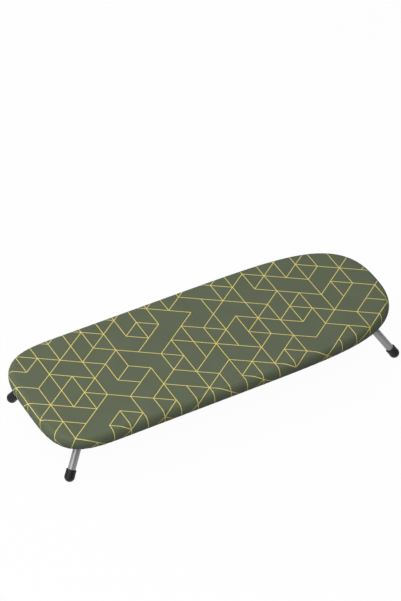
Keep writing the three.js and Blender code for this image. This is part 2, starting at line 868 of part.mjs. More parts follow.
function plateCuts() {
  const low = plateBottom - overrun;
  const cuts = [];
  const slotHalf = slotWidth / 2;
  const straight = slotHalfLength - slotHalf;
  cuts.push(block(
    1, slotCentre - slotHalf, slotCentre + slotHalf, -straight, straight,
    low, plateBottom + plateWall + overrun,
  ));
  [-straight, straight].forEach((y) => cuts.push(barAlongZ(
    slotHalf, 2 * slotSides, low, plateBottom + plateWall + overrun, slotCentre, y,
  )));
  wingHoleReaches.forEach((reach) => [-wingHoleSpread, wingHoleSpread].forEach((y) => {
    cuts.push(block(
      1, reach - wingHoleLength / 2, reach + wingHoleLength / 2,
      y - wingHoleWidth / 2, y + wingHoleWidth / 2, low, plateTop + overrun,
    ));
  }));
  [-edgeNotchSpread, edgeNotchSpread].forEach((y) => cuts.push(block(
    1, plateStart - overrun, plateStart + edgeNotchDepth,
    y - edgeNotchLength / 2, y + edgeNotchLength / 2, low, plateTop + overrun,
  )));
  const passage = tongueHalfWidth + fitGap;
  cuts.push(block(
    1, plateHandleEnd - 2 * plateWall, plateHandleEnd + overrun, -passage, passage,
    tongueBottom - fitGap, plateTop + overrun,
  ));
  return cuts;
}

function guideTongue() {
  const blade = raised(roundedShape([
    [tongueStart, -tongueHalfWidth, 0], [tongueEnd, -tongueHalfWidth, tongueCornerRadius],
    [tongueEnd, tongueHalfWidth, tongueCornerRadius], [tongueStart, tongueHalfWidth, 0],
  ]), tongueBottom, plateTop);
  const holes = [-postSpread, postSpread].map((y) => barAlongZ(
    boreRadius(postPinRadius, postSides), postSides,
    tongueBottom - overrun, tongueBottom + postPinLength + fitGap, postReach, y,
  ));
  return blade.subtract(joined(holes));
}

// Tension cord: a doubled elastic from the hem at the nose, looped round the hook's bar
function tensionCord() {
  const hemEdge = halfLength - hemReach - fitGap;
  const bend = hookWireRadius + cordRadius + fitGap;
  const stations = [
    new THREE.Vector3(hemEdge, cordSpread, cordHeight),
    new THREE.Vector3(hookBarReach + cordLead, cordSpread, cordHeight),
  ];
  for (let k = 0; k <= bightSteps; k += 1) {
    const share = k / bightSteps;
    const angle = -Math.PI / 2 - Math.PI * share;
    stations.push(new THREE.Vector3(
      hookBarReach + bend * Math.cos(angle),
      cordSpread * (1 - 2 * share),
      cordHeight + bend * Math.sin(angle),
    ));
  }
  stations.push(
    new THREE.Vector3(hookBarReach + cordLead, -cordSpread, cordHeight),
    new THREE.Vector3(hemEdge, -cordSpread, cordHeight),
  );
  return rod(stations, cordRadius, cordSides);
}

// Wire hook: a finger behind a rib of the lattice, then a triangle that takes the cord
function tensionHook() {
  const ribBefore = Math.floor((hookApexReach - latticeEnd) / ribPitch);
  const fingerReach = ribReach(ribBefore) - ribThickness / 2 - fitGap - hookWireRadius;
  const under = latticeBottom - fitGap - hookWireRadius;
  const stations = [
    new THREE.Vector3(fingerReach, 0, under + hookFingerHeight),
    new THREE.Vector3(fingerReach, 0, under),
    new THREE.Vector3(fingerReach + 2 * hookWireRadius, 0, under - hookWireRadius),
    new THREE.Vector3(hookApexReach, 0, cordHeight),
    new THREE.Vector3(hookBarReach - hookWireRadius, hookHalfWidth, cordHeight),
    new THREE.Vector3(hookBarReach, hookHalfWidth - hookWireRadius, cordHeight),
    new THREE.Vector3(hookBarReach, hookWireRadius - hookHalfWidth, cordHeight),
    new THREE.Vector3(hookBarReach - hookWireRadius, -hookHalfWidth, cordHeight),
    new THREE.Vector3(hookApexReach + hookTailGap, -hookTailGap, cordHeight),
  ];
  return rod(stations, hookWireRadius, hookSides);
}

function cordLockBody() {
  const near = lockReach - lockLength / 2;
  const far = lockReach + lockLength / 2;
  const half = lockWidth / 2;
  const shell = raised(roundedShape([
    [near, -half, lockCornerRadius], [far, -half, lockCornerRadius],
    [far, half, lockCornerRadius], [near, half, lockCornerRadius],
  ]), cordHeight - lockHeight / 2, cordHeight + lockHeight / 2);
  const strands = [-cordSpread, cordSpread].map((y) => barAlongX(
    boreRadius(cordRadius, cordSides), cordSides, near - overrun, far + overrun, y, cordHeight,
  ));
  const well = barAlongY(
    boreRadius(buttonRadius, buttonSides), buttonSides,
    half - buttonSeat - buttonTravel - fitGap, half + overrun, lockReach, cordHeight,
  );
  return shell.subtract(joined(strands)).subtract(well);
}

const cordLockButton = () => barAlongY(
  buttonRadius, buttonSides, lockWidth / 2 - buttonSeat,
  lockWidth / 2 - buttonSeat + buttonLength, lockReach, cordHeight,
);

// Materials
const finish = (color, roughness, metalness) => (
  () => new THREE.MeshStandardMaterial({ color, roughness, metalness })
);
const fabricFinish = finish(0x5f6a50, 0.9, 0);
const foamFinish = finish(0x3b3c41, 0.95, 0);
const elasticFinish = finish(0x1d1e1f, 0.85, 0);
const latticeFinish = finish(0xa9a6b4, 0.55, 0);
const steelFinish = finish(0xb9bbbd, 0.35, 0.9);
const bracketFinish = finish(0x8d8f93, 0.6, 0);
const rubberFinish = finish(0x24262a, 0.8, 0);
const plateFinish = finish(0x8f9982, 0.5, 0);
const tongueFinish = finish(0xb7c2a4, 0.5, 0);
const lockFinish = finish(0x6b7358, 0.5, 0);

function piece(name, solid, makeMaterial) {
  const mesh = new THREE.Mesh(toGeometry(solid), makeMaterial());
  mesh.name = name;
  return mesh;
}

// Assembly
const board = new THREE.Group();
const halves = [['tail', -1], ['nose', 1]];
const hands = [['left', 1], ['right', -1]];

function legPieces(sideName, side, handName, hand) {
  const group = new THREE.Group();
  const tag = `${sideName}_${handName}`;
  group.add(
    piece(`leg_tube_${tag}`, legTube(side, hand), steelFinish),
    piece(`foot_${tag}`, foot(side, hand), rubberFinish),
  );
  return group;
}

function halfPieces(sideName, side) {
  const group = new THREE.Group();
  group.add(
    piece(`cover_${sideName}`, coverHalf(side), fabricFinish),
    piece(`pad_${sideName}`, padHalf(side), foamFinish),
    piece(`hem_elastic_${sideName}`, hemElastic(side), elasticFinish),
    piece(`lattice_${sideName}`, latticeHalf(side), latticeFinish),
  );
  hands.forEach(([handName, hand]) => {
    const tag = `${sideName}_${handName}`;
    const [endPlace, clipPlace] = bracketPlaces;
    group.add(
      piece(`end_bracket_${tag}`, legBracket(side, hand, endPlace, endBracketWall), bracketFinish),
      piece(`clip_bracket_${tag}`, legBracket(side, hand, clipPlace, 0), bracketFinish),
      piece(`hinge_pin_${tag}`, hingePin(side, hand), steelFinish),
      legPieces(sideName, side, handName, hand),
    );
    screwPlaces(side, hand).forEach((place, i) => {
      group.add(piece(`bracket_screw_${tag}_${i + 1}`, bracketScrew(place), steelFinish));
    });
  });
  return group;
}

halves.forEach(([sideName, side]) => board.add(halfPieces(sideName, side)));
board.add(
  piece('cover_crease', coverCrease(), fabricFinish),
  piece('hinge_link_left', hingeLink(linkSpread), steelFinish),
  piece('hinge_link_right', hingeLink(-linkSpread), steelFinish),
  piece('lock_plate', lockPlate(), plateFinish),
  piece('guide_tongue', guideTongue(), tongueFinish),
  piece('tension_cord', tensionCord(), elasticFinish),
  piece('tension_hook', tensionHook(), steelFinish),
  piece('cord_lock_body', cordLockBody(), lockFinish),
  piece('cord_lock_button', cordLockButton(), lockFinish),
);

export default board;
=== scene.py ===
"""The looks of a folding tabletop ironing board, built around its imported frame.

Lengths are in millimetres until a surface becomes a mesh. X runs to the nose, Y to the
left and Z up, with the origin on the table under the middle of the board.
"""

from __future__ import annotations

import logging
import math
from collections.abc import Sequence
from dataclasses import dataclass, field
from enum import Enum
from typing import Any

import bpy
import numpy as np
from mathutils import Matrix, Vector
from mathutils.geometry import delaunay_2d_cdt


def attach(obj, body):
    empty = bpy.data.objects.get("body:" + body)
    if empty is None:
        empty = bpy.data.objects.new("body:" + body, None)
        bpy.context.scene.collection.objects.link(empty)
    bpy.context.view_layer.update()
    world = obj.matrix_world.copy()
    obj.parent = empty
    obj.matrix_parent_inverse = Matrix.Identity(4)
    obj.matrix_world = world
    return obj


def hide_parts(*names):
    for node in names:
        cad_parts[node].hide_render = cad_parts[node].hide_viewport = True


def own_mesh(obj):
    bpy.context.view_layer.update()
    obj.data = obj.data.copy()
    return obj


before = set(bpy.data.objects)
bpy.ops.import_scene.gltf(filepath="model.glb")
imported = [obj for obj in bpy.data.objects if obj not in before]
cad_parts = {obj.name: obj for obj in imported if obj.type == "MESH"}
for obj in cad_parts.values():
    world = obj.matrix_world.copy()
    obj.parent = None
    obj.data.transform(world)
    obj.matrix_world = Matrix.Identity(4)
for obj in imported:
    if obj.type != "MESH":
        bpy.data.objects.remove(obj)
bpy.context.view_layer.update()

logging.basicConfig(level=logging.INFO, format="%(message)s")
LOG = logging.getLogger("ironing_board")

Array = np.ndarray
Material = bpy.types.Material
Tree = bpy.types.NodeTree
Node = bpy.types.Node
Pair = tuple[float, float]
Triple = tuple[float, float, float]
Quad = tuple[float, float, float, float]
Pairs = tuple[Pair, ...]
MILLIMETRE = 0.001
QUARTER = math.pi / 2
SHARP_ANGLE = math.radians(38)
CLOTH_SHARP_ANGLE = math.radians(70)
CLOTH_MAP = "cloth"
EDGE_STEPS = 4


class Side(Enum):
    """A side of the board, whose name is part of the names of nodes."""

    @property
    def tag(self) -> str:
        """The side's name in the names of nodes."""
        return self.name.lower()


class Half(Side):
    """The two halves of the board, with the way each one lies from the fold."""

    TAIL = -1
    NOSE = 1

    @property
    def body(self) -> str:
        """The body that the half moves with."""
        return f"{self.tag}_half"


class Hand(Side):
    """The two long sides of the board, with the sign of Y on each."""

    LEFT = 1
    RIGHT = -1


# Surfaces


@dataclass
class Surface:
    """Points and faces in millimetres, with a place on the flat cloth for each point."""

    points: Array
    faces: list[tuple[int, ...]]
    flat: Array | None = None

    def outward(self, middle: Sequence[float] = (0.0, 0.0, 0.0)) -> Surface:
        """Turns the faces to point away from a middle point, by the sign of the volume.

        Args:
            middle: A point inside the form. It can be any point if the form is closed.

        Returns:
            The same surface, with its faces turned round if they pointed inwards.
        """
        fans = [(f[0], f[k], f[k + 1]) for f in self.faces for k in range(1, len(f) - 1)]
        a, b, c = (self.points[corner] - middle for corner in np.array(fans).T)
        if float((a * np.cross(b, c)).sum()) < 0:
            self.faces = [tuple(reversed(face)) for face in self.faces]
        return self


def joined(parts: Sequence[Surface]) -> Surface:
    """Puts several surfaces into one, each with its own points.

    Args:
        parts: The surfaces. All of them have a flat place, or none of them has.

    Returns:
        One surface with all points and faces.
    """
    points, faces, flats, start = [], [], [], 0
    for part in parts:
        points.append(part.points)
        faces += [tuple(i + start for i in face) for face in part.faces]
        if part.flat is not None:
            flats.append(part.flat)
        start += len(part.points)
    flat = np.concatenate(flats) if flats else None
    return Surface(np.concatenate(points), faces, flat)


def grid(points: Array, flat: Array | None = None, closed: bool = False) -> Surface:
    """Makes a surface of four-sided faces over a grid of points.

    Args:
        points: Rows by columns by 3, the surface's function of two parameters.
        flat: Rows by columns by 2, the place of each point on the flat cloth.
        closed: Whether the last column joins the first.

    Returns:
        The surface.
    """
    rows, columns = points.shape[:2]
    index = np.arange(rows * columns).reshape(rows, columns)
    if closed:
        index = np.concatenate([index, index[:, :1]], axis=1)
    quads = np.stack([index[:-1, :-1], index[:-1, 1:], index[1:, 1:], index[1:, :-1]], axis=-1)
    return Surface(
        points.reshape(-1, 3),
        [tuple(q) for q in quads.reshape(-1, 4).tolist()],
        None if flat is None else flat.reshape(-1, 2),
    )


def unit(vectors: Array) -> Array:
    """Vectors scaled to length one along the last axis."""
    return vectors / np.linalg.norm(vectors, axis=-1, keepdims=True)


def stacked(*columns: Array | float) -> Array:
    """Coordinates broadcast to one shape, and stacked along a new last axis."""
    return np.stack(np.broadcast_arrays(*columns), axis=-1)


def circle(angle: Array) -> Array:
    """Points on the unit circle: (cos a, sin a)."""
    return stacked(np.cos(angle), np.sin(angle))


def whole_turn(sides: int) -> Array:
    """Even angles once round, without the last one."""
    return np.linspace(0, 2 * math.pi, sides, endpoint=False)


def run_along(points: Array) -> Array:
    """The distance run along a line of points, from zero at the first one."""
    return np.concatenate([[0], np.cumsum(np.linalg.norm(np.diff(points, axis=0), axis=1))])


def path_frames(path: Array) -> tuple[Array, Array]:
    """Two directions square to a path at each of its stations, without twist.

    The first side direction is any one square to the path. Each next one is the last one
    less its part along the path, scaled back to length one.

    Args:
        path: Stations by 3.

    Returns:
        The side and the upward direction at each station.
    """
    along = unit(np.gradient(path, axis=0))
    first = np.eye(3)[int(np.argmin(np.abs(along[0])))]
    side = np.empty_like(path)
    for k, direction in enumerate(along):
        first = first - direction * float(first @ direction)
        first = first / np.linalg.norm(first)
        side[k] = first
    return side, np.cross(along, side)


def cap_ends(body: Surface, sides: int, poles: Array) -> None:
    """Closes rows of rings with a fan from the first and from the last ring to a pole.

    Args:
        body: The rings, whose points and faces grow in place.
        sides: The number of points in each ring.
        poles: The two poles by 3.
    """
    count = len(body.points)
    start = count - sides
    body.faces += [(count, (k + 1) % sides, k) for k in range(sides)]
    body.faces += [(count + 1, start + k, start + (k + 1) % sides) for k in range(sides)]
    body.points = np.concatenate([body.points, poles])


def tube(path: Array, radius: float, sides: int, rounding: float) -> Surface:
    """A round bar along a path: station + radius * (cos a * side + sin a * up).

    Args:
        path: Stations by 3, in order.
        radius: The bar's radius.
        sides: The number of points round it.
        rounding: How far the two ends are rounded off.

    Returns:
        A closed surface, whose flat place is (turn round the bar, length along it).
    """
    turn = whole_turn(sides)
    bend = np.linspace(0, QUARTER, EDGE_STEPS + 1)[1:]
    ahead = unit(path[-1] - path[-2]) * (rounding * np.sin(bend))[:, None]
    behind = unit(path[0] - path[1]) * (rounding * np.sin(bend[::-1]))[:, None]
    shrunk = radius - rounding * (1 - np.cos(bend))
    middle = np.concatenate([path[0] + behind, path, path[-1] + ahead])
    thick = np.concatenate([shrunk[::-1], np.full(len(path), radius), shrunk])
    side, up, run = (
        np.pad(v, [(EDGE_STEPS, EDGE_STEPS)] + [(0, 0)] * (v.ndim - 1), "edge")
        for v in (*path_frames(path), run_along(path))
    )
    points = middle[:, None] + thick[:, None, None] * (
        np.cos(turn)[None, :, None] * side[:, None] + np.sin(turn)[None, :, None] * up[:, None]
    )
    flat = stacked(turn[None] * radius, run[:, None])
    body = grid(points, flat, closed=True)
    cap_ends(body, sides, middle[[0, -1]])
    body.flat = np.concatenate([body.flat, flat[[0, -1], 0]])
    return body.outward()


def corner_arc(
    corner: Array, before: Array, after: Array, radius: float
) -> tuple[Array, Array, Array]:
    """The arc that rounds a corner. It touches both edges radius / tan(half the angle) away.

    Args:
        corner: The corner's place.
        before: The place of the one before it.
        after: The place of the one after it.
        radius: The arc's radius.

    Returns:
        The arc's middle, and its start and end as seen from there.
    """
    back, on = unit(before - corner), unit(after - corner)
    half = math.acos(float(np.clip(back @ on, -1, 1))) / 2
    centre = corner + unit(back + on) * radius / math.sin(half)
    start = corner + back * radius / math.tan(half) - centre
    return centre, start, corner + on * radius / math.tan(half) - centre


def rounded_path(corners: Array, radii: Sequence[float], steps: int = 8) -> Array:
    """A path through corners, each rounded by an arc.

    An arc's points lie between its two end directions as seen from its middle.

    Args:
        corners: Corners by 3.
        radii: One radius for each inner corner.
        steps: The number of pieces in each arc.

    Returns:
        Stations by 3.
    """
    parts = [corners[:1]]
    for k, radius in enumerate(radii, start=1):
        centre, start, end = corner_arc(corners[k], corners[k - 1], corners[k + 1], radius)
        angle = math.acos(float(np.clip(unit(start) @ unit(end), -1, 1)))
        share = np.linspace(0, 1, steps + 1)[:, None]
        parts.append(
            centre + (np.sin((1 - share) * angle) * start + np.sin(share * angle) * end)
            / math.sin(angle)
        )
    parts.append(corners[-1:])
    return np.concatenate(parts)


def lathe(
    profile: Sequence[Sequence[float]] | Array, sides: int, base: Sequence[float] | Array,
    axis: Sequence[float] | Array = (0.0, 0.0, 1.0),
) -> Surface:
    """A profile turned round an axis: base + height * axis + radius * (cos a, sin a).

    Args:
        profile: Points by 2, each (radius, height), from one pole to the other.
        sides: The number of points round it.
        base: The point on the axis where the height is zero.
        axis: The axis direction, of length one.

    Returns:
        A closed surface.
    """
    profile, base, axis = (np.asarray(value, float) for value in (profile, base, axis))
    first = unit(np.cross(axis, np.eye(3)[int(np.argmin(np.abs(axis)))]))
    turn = whole_turn(sides)[:, None]
    ring = np.cos(turn) * first + np.sin(turn) * np.cross(axis, first)
    inner = profile[1:-1]
    points = base + inner[:, 1, None, None] * axis + inner[:, 0, None, None] * ring
    body = grid(points, closed=True)
    cap_ends(body, sides, base + profile[[0, -1], 1][:, None] * axis)
    return body.outward()


# Plates: flat outlines with holes, given a thickness and soft edges


@dataclass
class Loop:
    """A closed line in a plane, with a direction out of the material at each point."""

    points: Array
    normals: Array

    def as_hole(self) -> Loop:
        """The same line as the edge of a hole."""
        return Loop(self.points, -self.normals)


def circle_loop(x: float, y: float, radius: float, sides: int) -> Loop:
    """A circle: centre + radius * (cos a, sin a)."""
    ring = circle(whole_turn(sides))
    return Loop(np.array([x, y]) + radius * ring, ring)


def rounded_loop(corners: Sequence[Triple], steps: int = 8) -> Loop:
    """A polygon with rounded corners, outward or inward, going round to the left.

    Args:
        corners: Each (x, y, radius).
        steps: The number of pieces in each corner's arc.

    Returns:
        The loop.
    """
    places = np.array([c[:2] for c in corners], float)
    points, normals = [], []
    for k, (*_, radius) in enumerate(corners):
        after = places[(k + 1) % len(places)]
        centre, start, end = corner_arc(places[k], places[k - 1], after, radius)
        from_angle = math.atan2(start[1], start[0])
        turn = math.atan2(end[1], end[0]) - from_angle
        turn = (turn + math.pi) % (2 * math.pi) - math.pi
        ring = circle(from_angle + turn * np.linspace(0, 1, steps + 1))
        points.append(centre + radius * ring)
        normals.append(ring if turn > 0 else -ring)
    return Loop(np.concatenate(points), np.concatenate(normals))


def rectangle(
    x: Pair, y: Pair, near_radius: float, far_radius: float | None = None, steps: int = 3
) -> Loop:
    """A rectangle with rounded corners.

    Args:
        x: Its span along X.
        y: Its span along Y.
        near_radius: The radius of its corners.
        far_radius: The radius of the two at the span's end along X, if it differs.
        steps: The number of pieces in each corner's arc.

    Returns:
        The loop.
    """
    near, far = near_radius, near_radius if far_radius is None else far_radius
    corners = [(x[0], y[0], near), (x[1], y[0], far), (x[1], y[1], far), (x[0], y[1], near)]
    return rounded_loop(corners, steps)


def plate(outer: Loop, holes: Sequence[Loop], low: float, high: float, soft: float) -> Surface:
    """A flat plate with holes. Its edge is a quarter round at the bottom and at the top.

    The rim of each loop is a grid: at angle a the loop is drawn in by soft * (1 - cos a)
    and lies soft * (1 - sin a) from the face. The two faces are triangles between the loops,
    less those that would fill a hole, whose corners all lie on that hole's loop.

    Args:
        outer: The outline.
        holes: The edges of the holes, with their normals already turned into them.
        low: The height of the lower face.
        high: The height of the upper face.
        soft: The radius of the edges.

    Returns:
        A closed surface.
    """
    bend = np.linspace(QUARTER, 0, EDGE_STEPS)
    drawn, rise = soft * (1 - np.cos(bend)), soft * (1 - np.sin(bend))
    depth = np.concatenate([drawn, drawn[::-1]])
    height = np.concatenate([low + rise, (high - rise)[::-1]])
    parts, caps, owners = [], [], []
    for number, loop in enumerate([outer, *holes]):
        ring = loop.points - loop.normals * depth[:, None, None]
        tall = np.broadcast_to(height[:, None, None], (*ring.shape[:2], 1))
        side = grid(np.concatenate([ring, tall], axis=2), closed=True)
        if number:
            side.faces = [tuple(reversed(f)) for f in side.faces]
        parts.append(side)
        caps.append(ring[0])
        owners.append(np.full(len(ring[0]), number))
    flat = np.concatenate(caps)
    starts = np.concatenate([[0], np.cumsum([len(c) for c in caps])])
    edges = [
        (int(a + k), int(a + (k + 1) % (b - a)))
        for a, b in zip(starts[:-1], starts[1:], strict=True)
        for k in range(b - a)
    ]
    spots, _, triangles, origins, *_ = delaunay_2d_cdt(
        [Vector(p) for p in flat.tolist()], edges, [list(range(len(caps[0])))], 1, 1e-5
    )
    first = np.array([origin[0] if origin else -1 for origin in origins])
    place = np.where(first[:, None] < 0, [tuple(v) for v in spots], flat[first])
    owner = np.where(first < 0, 0, np.concatenate(owners)[first])
    corners = np.array([tuple(f) for f in triangles])
    same = (owner[corners] == owner[corners][:, :1]).all(axis=1) & (owner[corners[:, 0]] > 0)
    corners = corners[~same]
    for tall, faces in ((low, corners[:, ::-1]), (high, corners)):
        cap = np.concatenate([place, np.full((len(place), 1), tall)], axis=1)
        parts.append(Surface(cap, [tuple(f) for f in faces.tolist()]))
    return merged(joined(parts)).outward()


def merged(surface: Surface) -> Surface:
    """Joins points that lie in the same place, to a ten-thousandth of a millimetre.

    Args:
        surface: Any surface.

    Returns:
        A surface without doubled points or faces that have fallen together.
    """
    keys = np.round(surface.points, 4)
    _, first, back = np.unique(keys, axis=0, return_index=True, return_inverse=True)
    back = back.reshape(-1)
    faces = []
    for face in surface.faces:
        kept = []
        for corner in (int(back[i]) for i in face):
            if corner not in kept:
                kept.append(corner)
        if len(kept) > 2:
            faces.append(tuple(kept))
    flat = None if surface.flat is None else surface.flat[first]
    return Surface(surface.points[first], faces, flat)


def block(x: Pair, y: Pair, z: Pair, soft: float = 0.35) -> Surface:
    """A moulded block, from its spans along X, Y and Z, with edges a little softer in plan."""
    across, along = (min(x), max(x)), (min(y), max(y))
    return plate(rectangle(across, along, soft + 0.1), [], *z, soft)


# Objects


def piece(
    name: str, surface: Surface, material: Material, body: str, slot: str,
    replaces: Sequence[str], sharp: float = SHARP_ANGLE,
) -> bpy.types.Object:
    """Makes a mesh object of a surface and hangs it on a body.

    Args:
        name: The piece's name.
        surface: Its points and faces.
        material: Its finish.
        body: The body it moves with.
        slot: The record's material slot. It is not used.
        replaces: The nodes that it stands for.
        sharp: Edges with more than this angle between their faces stay sharp.

    Returns:
        The object.
    """
    mesh = bpy.data.meshes.new(name)
    mesh.from_pydata((surface.points * MILLIMETRE).tolist(), [], surface.faces)
    mesh.update()
    if surface.flat is not None:
        layer = mesh.uv_layers.new(name=CLOTH_MAP)
        corners = np.empty(len(mesh.loops), dtype=np.int32)
        mesh.loops.foreach_get("vertex_index", corners)
        layer.data.foreach_set("uv", (surface.flat[corners] * MILLIMETRE).ravel())
    mesh.shade_smooth()
    mesh.set_sharp_from_angle(angle=sharp)
    mesh.materials.append(material)
    made = bpy.data.objects.new(name, mesh)
    bpy.context.scene.collection.objects.link(made)
    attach(made, body)
    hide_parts(*replaces)
    LOG.info("%s: %d faces on %s", name, len(surface.faces), body)
    return made


# Finishes

MIX_A, MIX_B, MIX_RESULT = 6, 7, 2  # a colour mix's sockets, whose names are not unique
BUMP_DEPTH = 0.4 * MILLIMETRE


def linear(colour: str) -> Quad:
    """Turns an sRGB colour into a linear one.

    Args:
        colour: Six hexadecimal digits.

    Returns:
        Linear red, green, blue and alpha.
    """
    shares = np.array([int(colour[k : k + 2], 16) / 255 for k in (0, 2, 4)])
    low, high = shares / 12.92, ((shares + 0.055) / 1.055) ** 2.4
    return (*np.where(shares <= 0.04045, low, high).tolist(), 1.0)


def add(tree: Tree, kind: str, *inputs: Any, **settings: Any) -> Node:
    """Adds a shader node with its settings and links.

    Args:
        tree: The node tree.
        kind: The node's type name, without its prefix.
        *inputs: What goes into the first sockets in order, or else one dict of sockets by
            name or number. Each is a value, a socket, or a node for its first output.
        **settings: The node's own properties.

    Returns:
        The node.
    """
    node = tree.nodes.new(f"ShaderNode{kind}")
    for key, value in settings.items():
        setattr(node, key, value)
    by_name = bool(inputs) and isinstance(inputs[0], dict)
    for key, value in (inputs[0] if by_name else dict(enumerate(inputs))).items():
        source = value.outputs[0] if isinstance(value, Node) else value
        if isinstance(source, bpy.types.NodeSocket):
            tree.links.new(source, node.inputs[key])
        else:
            node.inputs[key].default_value = source
    return node


def blank_material(name: str) -> tuple[Material, Tree]:
    """Makes a material with nothing in it yet.

    Args:
        name: The material's name.

    Returns:
        The material and its empty node tree.
    """
    material = bpy.data.materials.new(name)
    material.use_nodes = True
    material.node_tree.nodes.clear()
    return material, material.node_tree


@dataclass(frozen=True)
class Finish:
    """A plain finish: a colour that varies a little, with grain in its gloss and height."""

    name: str
    colour: str
    shade: str
    roughness: float
    metallic: float = 0.0
    ior: float = 1.5
    grain_mm: float = 0.6
    patch_mm: float = 60.0
    bump: float = 0.06
    spread: float = 0.06
    coat: float = 0.0
    stretch: Triple = (1.0, 1.0, 1.0)

    def material(self) -> Material:
        """Builds the material from Object coordinates.

        A wide noise mixes the two colours. A fine noise, one grain wide, lifts the surface
        and changes its roughness by the spread.

        Returns:
            The material.
        """
        material, tree = blank_material(self.name)
        place = add(tree, "TexCoord").outputs["Object"]
        drawn = add(tree, "Mapping", {"Vector": place, "Scale": self.stretch})
        patch, grain = 1 / (self.patch_mm * MILLIMETRE), 1 / (self.grain_mm * MILLIMETRE)
        patches = add(tree, "TexNoise", {"Vector": place, "Scale": patch, "Detail": 3.0})
        grains = add(tree, "TexNoise", {"Vector": drawn, "Scale": grain, "Detail": 2.0})
        tones = {"Factor": patches, MIX_A: linear(self.colour), MIX_B: linear(self.shade)}
        colour = add(tree, "Mix", tones, data_type="RGBA")
        least, most = self.roughness - self.spread, self.roughness + self.spread
        gloss = add(tree, "MapRange", {"Value": grains, "To Min": least, "To Max": most})
        rise = {"Height": grains, "Strength": self.bump, "Distance": BUMP_DEPTH}
        look = {
            "Base Color": colour.outputs[MIX_RESULT], "Metallic": self.metallic,
            "Roughness": gloss, "IOR": self.ior, "Coat Weight": self.coat,
            "Coat Roughness": 0.18, "Normal": add(tree, "Bump", rise),
        }
        add(tree, "OutputMaterial", add(tree, "BsdfPrincipled", look))
        return material


